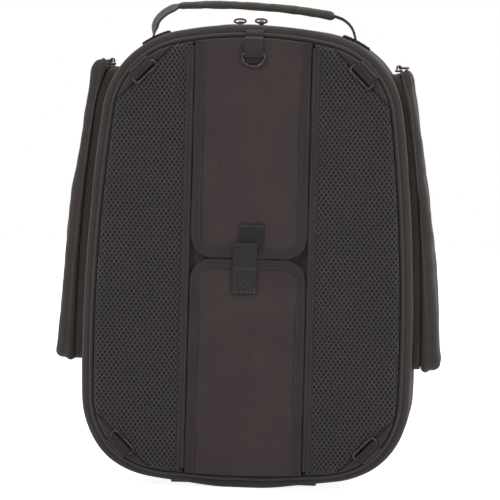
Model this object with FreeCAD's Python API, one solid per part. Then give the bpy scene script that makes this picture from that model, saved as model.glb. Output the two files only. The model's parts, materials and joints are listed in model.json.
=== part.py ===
import FreeCAD, Part
import math
import os
from FreeCAD import Vector

# Flight bag. Sizes in millimetres, angles in degrees.
# X runs across the bag, Y from the harness side to the front, Z up from the floor.
# Depths are measured from the outer face of the back panel, and every finished piece
# is then moved so that the origin is the centre of the base.

# Body outline, seen from behind: arcs that meet tangentially
body_height = 478.0
body_width = 341.0
widest_height = 150.0
side_radius = 1900.0
crown_radius = 400.0
top_corner_radius = 95.0
base_corner_radius = 95.0

# Shell
tub_depth = 140.0
shell_depth = 50.0
zip_width = 10.0
shell_wall = 4.0
rear_edge_radius = 9.0
front_edge_radius = 18.0
rim_width = 10.5
fold_height = 75.0
back_panel_thickness = 3.0
frame_sheet_thickness = 1.5
frame_sheet_margin = 45.0
frame_sheet_corner_radius = 40.0
base_board_thickness = 2.5
piping_radius = 2.5

# Harness side
pad_thickness = 12.0
pad_edge_radius = 4.0
flap_width = 121.0
flap_thickness = 2.5
flap_corner_radius = 20.0
flap_meeting_height = 234.5
upper_flap_hinge_drop = 52.0
lower_flap_hinge_height = 22.0
flap_binding_width = 10.0
pad_binding_width = 8.0
binding_thickness = 0.8
corner_patch_depth = 24.0
corner_patch_drop = 2.0

# Webbing and its rings
loop_webbing_width = 24.6
webbing_thickness = 1.4
corner_ring_length = 31.0
corner_ring_width = 11.2
corner_ring_bar = 2.4
tab_width = 19.0
tab_bar_drop = 30.0
tab_tail = 10.0
d_ring_width = 26.4
d_ring_bar = 2.6
strap_width = 25.0
strap_centre = -3.4
strap_below_meeting = 36.5
strap_above_meeting = 16.8
fastener_patch_width = 26.0
fastener_patch_centre = 3.0
fastener_patch_start = 7.5
fastener_patch_height = 29.0
fastener_patch_thickness = 1.5

# Carry handle
handle_depth = 45.0
handle_foot_span = 207.0
handle_rise = 32.0
handle_webbing_width = 25.0
handle_webbing_thickness = 2.0
handle_bend = 10.0
grip_length = 160.0
grip_thickness = 9.5
grip_width = 30.0
grip_crown_rise = 4.5
anchor_length = 30.0
anchor_thickness = 3.0

# Zips
tape_thickness = 1.4
bead_width = 1.65
bead_height = 0.8
slider_length = 13.0
slider_width = 8.4
slider_thickness = 1.8
lug_height = 5.2
lug_thickness = 2.0
lug_width = 5.6
pull_radius = 7.0
pull_bar = 1.8
pull_tilt = 20.0
left_slider_place = -22.0
right_slider_place = 0.0

# Side pockets
side_pocket_low = 132.0
side_pocket_drop = 47.0
side_pocket_near = 20.0
side_pocket_far = 130.0
side_pocket_low_reach = 27.5
side_pocket_middle_reach = 19.5
side_pocket_middle_rise = 158.0
side_pocket_high_reach = 23.5
side_frame_reach = 8.0
side_bead_height = 1.4
pocket_wall = 3.0
side_slider_depth = 38.0

# Front pocket
front_pocket_width = 224.0
front_pocket_low = 100.0
front_pocket_height = 218.0
front_pocket_corner_radius = 22.0
front_frame_depth = 10.0
front_door_depth = 14.0
front_door_edge_radius = 6.0
front_slider_place = 70.0

# Clearances
moving_gap = 0.4
flap_gap = 0.5
slider_gap = 0.6
seam_gap = 0.15

upper_flap_hinge_height = body_height - upper_flap_hinge_drop
tab_bar_height = body_height - tab_bar_drop
side_pocket_high = body_height - side_pocket_drop
side_pocket_middle_height = side_pocket_low + side_pocket_middle_rise
front_pocket_high = front_pocket_low + front_pocket_height
body_depth = tub_depth + shell_depth
zip_depth = tub_depth + zip_width / 2
pad_inset = rim_width + piping_radius + 0.3
piping_rise = 1.6 * piping_radius
block_bevel = pad_edge_radius / 2
pad_inner = flap_width / 2 + flap_gap + binding_thickness
ring_sides = 20
fold_sides = 12
FAR = 1000.0


# ---------------------------------------------------------------- profiles

def box(x0, x1, y0, y1, z0, z1):
    return Part.makeBox(x1 - x0, y1 - y0, z1 - z0, Vector(x0, y0, z0))


def above(height):
    return box(-FAR, FAR, -FAR, FAR, height, FAR)


def below(height):
    return box(-FAR, FAR, -FAR, FAR, -FAR, height)


def at(centre, radius, angle):
    return Vector(centre[0] + radius * math.cos(angle), 0, centre[1] + radius * math.sin(angle))


def arc(centre, radius, start, end):
    middle = at(centre, radius, (start + end) / 2)
    return Part.Arc(at(centre, radius, start), middle, at(centre, radius, end)).toShape()


def angle_to(start, end):
    return math.atan2(end[1] - start[1], end[0] - start[0])


def circles_meet(first, first_radius, second, second_radius):
    """The right-hand point where two circles cross, as (x, z)."""
    apart = math.dist(first, second)
    along = (first_radius ** 2 - second_radius ** 2 + apart ** 2) / (2 * apart)
    aside = math.sqrt(first_radius ** 2 - along ** 2)
    ux, uz = (second[0] - first[0]) / apart, (second[1] - first[1]) / apart
    candidates = [(first[0] + along * ux - side * aside * uz, first[1] + along * uz + side * aside * ux)
                  for side in (1, -1)]
    return max(candidates)


side_centre = (body_width / 2 - side_radius, widest_height)
crown_centre = (0.0, body_height - crown_radius)
top_centre = circles_meet(side_centre, side_radius - top_corner_radius,
                          crown_centre, crown_radius - top_corner_radius)
base_rise = base_corner_radius - widest_height
base_reach = math.sqrt((side_radius - base_corner_radius) ** 2 - base_rise ** 2)
base_centre = (side_centre[0] + base_reach, base_corner_radius)
crown_angle = angle_to(crown_centre, top_centre)
high_angle = angle_to(side_centre, top_centre)
low_angle = angle_to(side_centre, base_centre)


def mirrored(shape):
    return shape.mirror(Vector(0, 0, 0), Vector(1, 0, 0))


def outline(inset):
    """The closed body outline, moved inwards by inset; the arcs keep their centres."""
    right = [arc(base_centre, base_corner_radius - inset, -math.pi / 2, low_angle),
             arc(side_centre, side_radius - inset, low_angle, high_angle),
             arc(top_centre, top_corner_radius - inset, high_angle, crown_angle)]
    crown = arc(crown_centre, crown_radius - inset, crown_angle, math.pi - crown_angle)
    floor = Part.makeLine(at(base_centre, base_corner_radius - inset, -math.pi / 2),
                          Vector(-base_centre[0], 0, inset))
    left = [mirrored(edge) for edge in right]
    return Part.Wire(Part.__sortEdges__(right + [crown, floor] + left))


def outline_x(height, outset):
    """Half-width of the body at a height on its side or top corner, outset from the outline."""
    centre, radius = side_centre, side_radius
    if height > at(side_centre, side_radius, high_angle).z:
        centre, radius = top_centre, top_corner_radius
    return centre[0] + math.sqrt((radius + outset) ** 2 - (height - centre[1]) ** 2)


def plate(inset, near, far):
    solid = Part.Face(outline(inset)).extrude(Vector(0, far - near, 0))
    solid.translate(Vector(0, near, 0))
    return solid


def band(outer_inset, inner_inset, near, far):
    return plate(outer_inset, near, far).cut(plate(inner_inset, near - 1, far + 1))


def rounded_panel(half_width, low, high, low_radius, high_radius, near, far):
    """An upright rectangle with rounded lower and upper corners."""
    panel = box(-half_width, half_width, near, far, low, high)
    for radius, height in ((low_radius, low), (high_radius, high)):
        if radius:
            corners = [edge for edge in panel.Edges
                       if edge.BoundBox.YLength > 0.5 * (far - near)
                       and edge.BoundBox.XLength < 1e-6 and edge.BoundBox.ZLength < 1e-6
                       and abs(edge.BoundBox.ZMin - height) < 1e-6]
            panel = panel.makeFillet(radius, corners)
    return panel


def edges_at_depth(solid, depth):
    return [edge for edge in solid.Edges
            if abs(edge.BoundBox.YMin - depth) < 1e-4 and abs(edge.BoundBox.YMax - depth) < 1e-4]


def edge_flat(radius):
    """The chamfer whose flat touches an arc of this radius."""
    return radius * (2 - math.sqrt(2))


def softened(solid, radius, depth, inwards):
    """Round the edge at this depth with three flats tangent to an arc; inwards is the Y
    direction from the edge into the solid."""
    first = edge_flat(radius)
    second = radius * (1 - math.tan(math.pi / 16)) - first
    solid = solid.makeChamfer(first, edges_at_depth(solid, depth))
    rims = edges_at_depth(solid, depth) + edges_at_depth(solid, depth + inwards * first)
    return solid.makeChamfer(second, rims)


def regular_prism(radius, sides, height):
    """An upright prism on a regular polygon whose flats touch a circle of this radius."""
    reach = radius / math.cos(math.pi / sides)
    corners = [Vector(reach * math.cos(2 * math.pi * place / sides),
                      reach * math.sin(2 * math.pi * place / sides), 0) for place in range(sides)]
    return Part.Face(Part.makePolygon(corners + corners[:1])).extrude(Vector(0, 0, height))


def ribbon(points, thickness, width, bend=0):
    """A strip of webbing: its side profile follows the points, with mitred or round bends, and
    it is as wide as given along the third axis. The points lie on the middle of its thickness."""
    half = thickness / 2
    places = [Vector(a, b, 0) for a, b in points]
    ways = [(end - start).normalize() for start, end in zip(places, places[1:])]
    sides = {1: [], -1: []}
    for side in sides:
        normals = [Vector(-way.y, way.x, 0) * side for way in ways]
        last = places[0] + normals[0] * half
        for index in range(1, len(places) - 1):
            before, after = ways[index - 1], ways[index]
            turn = before.getAngle(after)
            left_turn = 1 if before.cross(after).z > 0 else -1
            corner = places[index]
            if not bend:
                meet = corner + (normals[index - 1] + normals[index]).normalize() * (
                    half / math.cos(turn / 2))
                sides[side].append(Part.makeLine(last, meet))
                last = meet
                continue
            reach = bend * math.tan(turn / 2)
            start = corner - before * reach
            end = corner + after * reach
            centre = start + Vector(-before.y, before.x, 0) * (bend * left_turn)
            radius = bend - side * left_turn * half
            middle = centre + (corner - centre).normalize() * radius
            start = start + normals[index - 1] * half
            end = end + normals[index] * half
            if (start - last).Length > 1e-6:
                sides[side].append(Part.makeLine(last, start))
            sides[side].append(Part.Arc(start, middle, end).toShape())
            last = end
        sides[side].append(Part.makeLine(last, places[-1] + normals[-1] * half))
    caps = [Part.makeLine(sides[1][0].Vertexes[0].Point, sides[-1][0].Vertexes[0].Point),
            Part.makeLine(sides[1][-1].Vertexes[-1].Point, sides[-1][-1].Vertexes[-1].Point)]
    wire = Part.Wire(Part.__sortEdges__(sides[1] + sides[-1] + caps))
    solid = Part.Face(wire).extrude(Vector(0, 0, width))
    solid.translate(Vector(0, 0, -width / 2))
    return solid


def placed(shape, origin, first_axis, second_axis):
    """Stand a shape that was drawn on local axes at its place on the bag."""
    turn = FreeCAD.Rotation(first_axis, second_axis, first_axis.cross(second_axis), "XYZ")
    moved = shape.copy()
    moved.Placement = FreeCAD.Placement(origin, turn).multiply(moved.Placement)
    return moved


UP = Vector(0, 0, 1)
OUT = Vector(0, -1, 0)
RIGHT = Vector(1, 0, 0)


def save(node, shape):
    """Write one piece, moved to the centre of the base."""
    solid = shape.copy()
    solid.translate(Vector(0, -body_depth / 2, 0))
    if not solid.isValid() or not solid.Solids:
        raise ValueError(node + " is not a valid solid")
    if len(solid.Solids) == 1:
        solid = solid.Solids[0]
    solid.exportStep("parts/" + node + ".step")
    print(node, len(solid.Solids), round(solid.Volume))


# ---------------------------------------------------------------- shell

def main_gusset():
    outer = plate(0, 0, tub_depth)
    outer = softened(outer, rear_edge_radius, 0, 1)
    hollow = plate(shell_wall, shell_wall, tub_depth + 1)
    seat = plate(rim_width, -1, shell_wall + 1)
    return outer.cut(hollow).cut(seat)


def front_shell():
    """The front of the bag, from the zip forwards, before it is split at the fold."""
    outer = plate(0, tub_depth, body_depth)
    outer = softened(outer, front_edge_radius, body_depth, -1)
    inner_edge = front_edge_radius - shell_wall
    hollow = plate(shell_wall, tub_depth - 1, body_depth - shell_wall)
    hollow = hollow.makeChamfer(inner_edge / 2, edges_at_depth(hollow, body_depth - shell_wall))
    return outer.cut(hollow)


def lid_shell():
    behind_zip = box(-FAR, FAR, -FAR, tub_depth + zip_width, -FAR, FAR)
    return front_shell().common(above(fold_height + moving_gap)).cut(behind_zip)


def front_apron():
    return front_shell().common(below(fold_height))


def piping(inset, depth, outwards):
    """A cord of piping standing on the seam at this depth; outwards is its Y direction."""
    top = depth + outwards * piping_rise
    return band(inset - piping_radius, inset + piping_radius, min(depth, top), max(depth, top))


def zip_tape(near, far, bead_near, low):
    """A zip tape along the opening with its row of teeth as a bead."""
    outer_inset = shell_wall - tape_thickness
    tape = band(outer_inset, shell_wall, near, far)
    bead = band(outer_inset - bead_height, outer_inset + 0.2, bead_near, bead_near + bead_width)
    return tape.fuse(bead).common(above(low)).removeSplitter()


def frame_sheet():
    """The stiff sheet that lies on the inside of the back panel."""
    return rounded_panel(body_width / 2 - frame_sheet_margin, frame_sheet_margin,
                         body_height - frame_sheet_margin, frame_sheet_corner_radius,
                         frame_sheet_corner_radius, back_panel_thickness,
                         back_panel_thickness + frame_sheet_thickness)


def base_board():
    half = base_centre[0]
    low = shell_wall
    return box(-half, half, shell_wall + 1, tub_depth - 5, low, low + base_board_thickness)


# ---------------------------------------------------------------- harness side

def corner_axis(side, level):
    """Centre, radius and outward diagonal of one body corner; side and level are 1 or -1."""
    centre, radius = (top_centre, top_corner_radius) if level > 0 else (base_centre, base_corner_radius)
    return Vector(side * centre[0], 0, centre[1]), radius, Vector(side, 0, level).normalize()


def beyond_diagonal(side, level):
    centre, radius, outward = corner_axis(side, level)
    start = centre + outward * (radius - corner_patch_depth)
    block = Part.makeBox(FAR, FAR, FAR, Vector(0, -FAR / 2, -FAR / 2))
    return placed(block, start, outward, Vector(0, 1, 0))


def mesh_pad(side):
    pad = plate(pad_inset, -pad_thickness, 0)
    pad = pad.common(box(pad_inner, FAR, -FAR, FAR, -FAR, FAR))
    for level in (1, -1):
        pad = pad.cut(beyond_diagonal(1, level))
    edges = [edge for edge in edges_at_depth(pad, -pad_thickness)
             if edge.BoundBox.XMax > pad_inner + 0.001]
    pad = pad.makeChamfer(edge_flat(pad_edge_radius), edges)
    return pad if side > 0 else mirrored(pad)


def pad_binding(side):
    """An L of tape round the inner edge of a mesh pad."""
    inner = flap_width / 2 + flap_gap
    high = math.sqrt((crown_radius - pad_inset) ** 2 - inner ** 2) + crown_centre[1] - pad_edge_radius
    low = pad_inset + pad_edge_radius
    front = box(inner, inner + pad_binding_width, -pad_thickness - binding_thickness, -pad_thickness,
                low, high)
    edge = box(inner, pad_inner, -pad_thickness, 0, low, high)
    tape = front.fuse(edge).removeSplitter()
    return tape if side > 0 else mirrored(tape)


def corner_patch(side, level):
    patch = plate(pad_inset, corner_patch_drop - pad_thickness, 0).common(beyond_diagonal(1, level))
    rim = [edge for edge in edges_at_depth(patch, corner_patch_drop - pad_thickness)
           if edge.Curve.TypeId == "Part::GeomCircle"]
    patch = patch.makeChamfer(block_bevel, rim)
    return patch if side > 0 else mirrored(patch)


corner_bore = corner_ring_bar / 2 * math.sqrt(2) + 0.3
corner_barrel = corner_bore + 1.2
corner_ring_lift = pad_thickness + moving_gap + corner_ring_bar / 2


def corner_barrel_place(radius):
    return radius - corner_patch_depth + corner_barrel + 0.2


def webbing_rise(edge, top):
    """Webbing's middle line out of the seam beside the piping and up onto a bevelled block of
    this height; edge is where the body ends on the same line."""
    off = webbing_thickness / 2 + seam_gap
    wall = edge - pad_inset
    return [(wall + off, piping_rise + seam_gap),
            (wall + off, top - block_bevel + off * (math.sqrt(2) - 1)),
            (wall + off * math.sqrt(2) - block_bevel - webbing_thickness / 2, top + webbing_thickness / 2)]


def webbing_climb(edge, top):
    """The same from the rim, over the piping."""
    half = webbing_thickness / 2
    crest = piping_rise + half + 2 * seam_gap
    climb = edge - rim_width + piping_radius + half + seam_gap
    rise = webbing_rise(edge, top)
    return [(climb + webbing_thickness, half), (climb, half), (climb, crest), (rise[0][0], crest)] + rise[1:]


def corner_loop(side, level):
    """Webbing from the seam beside the piping, folded round a ring bar at the patch edge."""
    centre, radius, outward = corner_axis(side, level)
    barrel_at = corner_barrel_place(radius)
    top = pad_thickness - corner_patch_drop
    points = webbing_rise(radius, top) + [(barrel_at, top + webbing_thickness / 2)]
    slab = ribbon(points, webbing_thickness, loop_webbing_width)
    barrel = regular_prism(corner_barrel, fold_sides, loop_webbing_width)
    barrel.translate(Vector(barrel_at, corner_ring_lift, -loop_webbing_width / 2))
    bore = Part.makeCylinder(corner_bore, loop_webbing_width,
                             Vector(barrel_at, corner_ring_lift, -loop_webbing_width / 2))
    return placed(slab.fuse(barrel).cut(bore).removeSplitter(), centre, outward, OUT)


def corner_ring(side, level):
    """A narrow rectangular ring whose near bar lies in the fold of its loop."""
    centre, radius, outward = corner_axis(side, level)
    barrel_at = corner_barrel_place(radius)
    half = corner_ring_bar / 2
    high = barrel_at + half
    outer = Part.makeBox(corner_ring_width, corner_ring_bar, corner_ring_length,
                         Vector(high - corner_ring_width, -half, -corner_ring_length / 2))
    outer = outer.makeFillet(half, [edge for edge in outer.Edges
                                    if edge.BoundBox.YLength > corner_ring_bar / 2])
    inner = Part.makeBox(corner_ring_width - 2 * corner_ring_bar, FAR,
                         corner_ring_length - 2 * corner_ring_bar,
                         Vector(high - corner_ring_width + corner_ring_bar, -FAR / 2,
                                corner_ring_bar - corner_ring_length / 2))
    ring = outer.cut(inner)
    ring.translate(Vector(0, corner_ring_lift, 0))
    return placed(ring, centre, outward, OUT)


def upper_flap_header():
    header = plate(pad_inset, -pad_thickness, 0).common(above(upper_flap_hinge_height + moving_gap))
    header = header.common(box(-flap_width / 2, flap_width / 2, -FAR, FAR, -FAR, FAR))
    return header.makeChamfer(block_bevel, [edge for edge in edges_at_depth(header, -pad_thickness)
                                            if edge.Curve.TypeId == "Part::GeomCircle"])


def lower_flap_hem():
    hem = plate(pad_inset, -pad_thickness, 0).common(below(lower_flap_hinge_height - moving_gap))
    return hem.common(box(-flap_width / 2, flap_width / 2, -FAR, FAR, -FAR, FAR))


def flap_panel(upper, inset, near, far):
    """A flap with round corners at its free end, or the same shape inset on three sides."""
    half = flap_width / 2 - inset
    radius = flap_corner_radius - inset
    if upper:
        low = flap_meeting_height + moving_gap + inset
        return rounded_panel(half, low, upper_flap_hinge_height, radius, 0, near, far)
    high = flap_meeting_height - moving_gap - inset
    return rounded_panel(half, lower_flap_hinge_height, high, 0, radius, near, far)


def flap(upper):
    return flap_panel(upper, 0, -pad_thickness, flap_thickness - pad_thickness)


def flap_binding(upper):
    """Tape on the outer face along the free edges of a flap, clear of its hinge line."""
    near = -pad_thickness - binding_thickness
    tape = flap_panel(upper, 0, near, -pad_thickness)
    tape = tape.cut(flap_panel(upper, flap_binding_width, near - 1, 0))
    if upper:
        return tape.common(below(upper_flap_hinge_height - 2 * binding_thickness))
    return tape.common(above(lower_flap_hinge_height + 2 * binding_thickness))


def fastener_patch():
    patch = box(fastener_patch_centre - fastener_patch_width / 2,
                fastener_patch_centre + fastener_patch_width / 2,
                -pad_thickness - fastener_patch_thickness, -pad_thickness,
                flap_meeting_height + fastener_patch_start,
                flap_meeting_height + fastener_patch_start + fastener_patch_height)
    return patch.cut(flap_binding(True))


def closure_strap():
    """Webbing sewn to the lower flap that reaches over the patch on the upper flap."""
    half = webbing_thickness / 2
    low = pad_thickness + half
    over_binding = low + binding_thickness
    over_patch = low + fastener_patch_thickness + flap_gap
    binding_start = flap_meeting_height - moving_gap - flap_binding_width
    foot = flap_meeting_height - strap_below_meeting
    points = [(foot, low), (binding_start - 3, low), (binding_start - 1, over_binding),
              (flap_meeting_height - 5, over_binding), (flap_meeting_height, over_patch),
              (flap_meeting_height + strap_above_meeting, over_patch)]
    strap = ribbon(points, webbing_thickness, strap_width)
    return placed(strap, Vector(strap_centre, 0, 0), UP, OUT)


# ---------------------------------------------------------------- top ring and handle

d_ring_bore = d_ring_bar / 2 * math.sqrt(2) + 0.4
d_ring_barrel = d_ring_bore + 1.2
d_ring_lift = pad_thickness + max(d_ring_barrel, webbing_thickness + moving_gap + d_ring_bar / 2) + 0.1


def d_ring_tab():
    """Webbing from the rim over the piping, round the ring's bar, with its tail below."""
    points = webbing_climb(body_height, pad_thickness)
    points.append((tab_bar_height - tab_tail, pad_thickness + webbing_thickness / 2))
    slab = ribbon(points, webbing_thickness, tab_width)
    barrel = regular_prism(d_ring_barrel, fold_sides, tab_width)
    barrel.translate(Vector(tab_bar_height, d_ring_lift, -tab_width / 2))
    bore = Part.makeCylinder(d_ring_bore, tab_width,
                             Vector(tab_bar_height, d_ring_lift, -tab_width / 2))
    return placed(slab.fuse(barrel).cut(bore).removeSplitter(), Vector(0, 0, 0), UP, OUT)


def d_ring():
    """A D-shaped ring hanging from its straight bar."""
    radius = d_ring_width / 2
    centre = (0.0, tab_bar_height - 1)
    half = d_ring_bar / 2

    def d_face(reach, top):
        bow = Part.Arc(Vector(-reach, 0, centre[1]), Vector(0, 0, centre[1] - reach),
                       Vector(reach, 0, centre[1])).toShape()
        corners = [Vector(reach, 0, centre[1]), Vector(reach, 0, top), Vector(-reach, 0, top),
                   Vector(-reach, 0, centre[1])]
        lines = [Part.makeLine(start, end) for start, end in zip(corners, corners[1:])
                 if (end - start).Length > 1e-6]
        return Part.Face(Part.Wire(Part.__sortEdges__([bow] + lines)))

    outer = d_face(radius, tab_bar_height + half).extrude(Vector(0, d_ring_bar, 0))
    inner_reach = radius - d_ring_bar
    inner = d_face(inner_reach, centre[1] + 2).common(below(tab_bar_height - half))
    inner = inner.extrude(Vector(0, d_ring_bar, 0))
    ring = outer.cut(inner)
    ring.translate(Vector(0, -d_ring_lift - half, 0))
    return ring


handle_foot_x = handle_foot_span / 2
handle_foot_z = top_centre[1] + math.sqrt(top_corner_radius ** 2 - (handle_foot_x - top_centre[0]) ** 2)
handle_low_z = handle_foot_z + anchor_thickness + 2
handle_axis_z = handle_low_z + handle_webbing_width / 2


def handle_anchor(side):
    """A stitched webbing pad on the gusset under one foot of the handle."""
    reach = handle_webbing_width / 2
    normal_angle = angle_to(top_centre, (handle_foot_x, handle_foot_z))
    spread = anchor_length / 2 / top_corner_radius
    start, end = normal_angle - spread, normal_angle + spread
    outer = top_corner_radius + anchor_thickness
    wire = Part.Wire([arc(top_centre, top_corner_radius, start, end),
                      Part.makeLine(at(top_centre, top_corner_radius, end), at(top_centre, outer, end)),
                      arc(top_centre, outer, end, start),
                      Part.makeLine(at(top_centre, outer, start),
                                    at(top_centre, top_corner_radius, start))])
    pad = Part.Face(wire).extrude(Vector(0, 2 * reach, 0))
    pad.translate(Vector(0, handle_depth - reach, 0))
    return pad if side > 0 else mirrored(pad)


def handle_path():
    """Half of the handle's centre line, from the foot to the middle of the grip."""
    grip_end = grip_length / 2
    top = handle_foot_z + handle_rise
    return [(handle_foot_x, handle_low_z), (handle_foot_x - 4, top - 14),
            (grip_end + 6, top - grip_crown_rise - 1), (0, top)]


def handle_webbing():
    right = handle_path()
    points = [(-a, b) for a, b in right] + right[-2::-1]
    del points[len(right) - 1]
    strip = ribbon(points, handle_webbing_thickness, handle_webbing_width, handle_bend)
    strip = placed(strip, Vector(0, handle_depth, 0), RIGHT, UP)
    reach = handle_webbing_width / 2
    round_end = Part.makeCylinder(reach, body_width, Vector(-body_width / 2, handle_depth, handle_axis_z),
                                  RIGHT)
    return strip.common(above(handle_axis_z).fuse(round_end))


def handle_grip():
    """A sleeve round the middle of the handle, gently bowed upwards."""
    half = grip_length / 2
    top = handle_foot_z + handle_rise
    radius = (half ** 2 + grip_crown_rise ** 2) / (2 * grip_crown_rise)
    centre = (0.0, top - radius)
    spread = math.asin(half / radius)
    start, end = math.pi / 2 - spread, math.pi / 2 + spread
    low, high = radius - grip_thickness / 2, radius + grip_thickness / 2
    wire = Part.Wire([arc(centre, low, start, end),
                      Part.makeLine(at(centre, low, end), at(centre, high, end)),
                      arc(centre, high, end, start),
                      Part.makeLine(at(centre, high, start), at(centre, low, start))])
    grip = Part.Face(wire).extrude(Vector(0, grip_width, 0))
    grip.translate(Vector(0, handle_depth - grip_width / 2, 0))
    long_edges = [edge for edge in grip.Edges if edge.BoundBox.XLength > grip_length / 2]
    grip = grip.makeChamfer(grip_thickness * 0.3, long_edges)
    return grip.cut(handle_webbing())


# ---------------------------------------------------------------- zip sliders and pulls

lug_hole = pull_bar / 2 * math.sqrt(2) + 0.4
lug_hole_height = lug_height - lug_hole - 0.9


def slider_shape():
    """A slider that travels along its first axis, with the zip at local zero."""
    nose = slider_length / 2
    half = slider_width / 2
    corners = [(-nose, -half * 0.6), (-nose * 0.3, -half), (nose, -half * 0.8), (nose, half * 0.8),
               (-nose * 0.3, half), (-nose, half * 0.6)]
    points = [Vector(a, b, slider_gap) for a, b in corners]
    deck = Part.Face(Part.makePolygon(points + points[:1])).extrude(Vector(0, 0, slider_thickness))
    foot = slider_gap + slider_thickness
    lug = box(-lug_thickness / 2, lug_thickness / 2, -lug_width / 2, lug_width / 2, foot - 0.5,
              foot + lug_height)
    top = [edge for edge in lug.Edges if edge.BoundBox.XLength > lug_thickness / 2
           and edge.BoundBox.ZMin > foot + lug_height - 1e-6]
    lug = lug.makeChamfer(lug_width * 0.25, top)
    hole = Part.makeCylinder(lug_hole, lug_thickness * 2,
                             Vector(-lug_thickness, 0, foot + lug_hole_height), RIGHT)
    return deck.fuse(lug).cut(hole).removeSplitter()


def pull_shape(tilt):
    """A ring pull through the slider's lug, leaning towards the second axis and lifted."""
    ring = regular_prism(pull_radius, ring_sides, pull_bar)
    ring = ring.cut(regular_prism(pull_radius - pull_bar, ring_sides, pull_bar))
    ring.translate(Vector(0, pull_radius - pull_bar / 2, -pull_bar / 2))
    ring.rotate(Vector(0, 0, 0), RIGHT, tilt)
    ring.translate(Vector(0, 0, slider_gap + slider_thickness + lug_hole_height))
    return ring


def on_crown(shape, place):
    """Stand a slider or pull on the main zip, at a distance along the crown."""
    bead_top = crown_radius - shell_wall + tape_thickness + bead_height
    lean = place / crown_radius
    outward = Vector(math.sin(lean), 0, math.cos(lean))
    origin = Vector(crown_centre[0], zip_depth, crown_centre[1]) + outward * bead_top
    along = Vector(-math.cos(lean), 0, math.sin(lean))
    return placed(shape, origin, along, OUT)


def side_zip_x():
    return outline_x(side_pocket_high, side_frame_reach)


def on_side_pocket(shape, side):
    origin = Vector(side * side_zip_x(), side_slider_depth, side_pocket_high + side_bead_height)
    along = Vector(0, -side, 0)
    return placed(shape, origin, along, Vector(side, 0, 0))


def on_front_pocket(shape):
    origin = Vector(front_slider_place, body_depth + front_frame_depth, front_pocket_high + bead_height)
    return placed(shape, origin, RIGHT, Vector(0, 1, 0))


# ---------------------------------------------------------------- pockets

def side_block(near, far, low, high, reach_change):
    """The bulk of a right-hand side pocket, out to its curved outer panel."""
    reaches = ((side_pocket_low, side_pocket_low_reach), (side_pocket_middle_height, side_pocket_middle_reach),
               (side_pocket_high, side_pocket_high_reach))
    points = [Vector(outline_x(height, 0) + reach + reach_change, near, height)
              for height, reach in reaches]
    outer = Part.Arc(*points).toShape()
    inner_x = outline_x(side_pocket_high, 0) / 2
    corners = [points[2], Vector(inner_x, near, points[2].z), Vector(inner_x, near, points[0].z), points[0]]
    lines = [Part.makeLine(start, end) for start, end in zip(corners, corners[1:])]
    block = Part.Face(Part.Wire(Part.__sortEdges__([outer] + lines))).extrude(Vector(0, far - near, 0))
    return block.common(box(-FAR, FAR, -FAR, FAR, low, high))


def side_pocket_frame(side):
    """The zip band sewn to the gusset round a side pocket, with teeth along its top."""
    outside = side_block(side_pocket_near, side_pocket_far, side_pocket_low, side_pocket_high, 0)
    frame = outside.common(plate(-side_frame_reach, 0, tub_depth)).cut(plate(0, -1, body_depth))
    hollow = box(0, FAR, side_pocket_near + pocket_wall, side_pocket_far - pocket_wall,
                 side_pocket_low + pocket_wall, side_pocket_high - pocket_wall)
    frame = frame.cut(hollow)
    zip_x = side_zip_x() - moving_gap
    bead = box(zip_x - bead_width, zip_x, side_pocket_near + pocket_wall, side_pocket_far - pocket_wall,
               side_pocket_high - 0.2, side_pocket_high + side_bead_height)
    frame = frame.fuse(bead).removeSplitter()
    return frame if side > 0 else mirrored(frame)


def side_pocket_door(side):
    """The outer part of a side pocket: a tray that hinges down from the zip."""
    outside = side_block(side_pocket_near, side_pocket_far, side_pocket_low, side_pocket_high, 0)
    inside = side_block(side_pocket_near + pocket_wall, side_pocket_far - pocket_wall,
                        side_pocket_low + pocket_wall, side_pocket_high - pocket_wall, -pocket_wall)
    door = outside.cut(inside).cut(plate(-side_frame_reach - moving_gap, -1, body_depth))
    return door if side > 0 else mirrored(door)


def front_pocket_panel(inset, near, far):
    radius = front_pocket_corner_radius - inset
    return rounded_panel(front_pocket_width / 2 - inset, front_pocket_low + inset,
                         front_pocket_high - inset, radius, radius, near, far)


def front_pocket_frame():
    far = body_depth + front_frame_depth
    frame = front_pocket_panel(0, body_depth, far)
    frame = frame.cut(front_pocket_panel(pocket_wall, body_depth - 1, far + 1))
    half = front_pocket_width / 2 - front_pocket_corner_radius
    bead = box(-half, half, far - bead_width, far, front_pocket_high - 0.2,
               front_pocket_high + bead_height)
    return frame.fuse(bead).removeSplitter()


def front_pocket_door():
    near = body_depth + front_frame_depth + moving_gap
    far = near + front_door_depth
    door = front_pocket_panel(0, near, far)
    door = door.makeChamfer(edge_flat(front_door_edge_radius), edges_at_depth(door, far))
    return door.cut(front_pocket_panel(pocket_wall, near - 1, far - pocket_wall))


# ---------------------------------------------------------------- build

SIDES = {"left": -1, "right": 1}
LEVELS = {"upper": 1, "lower": -1}


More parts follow.
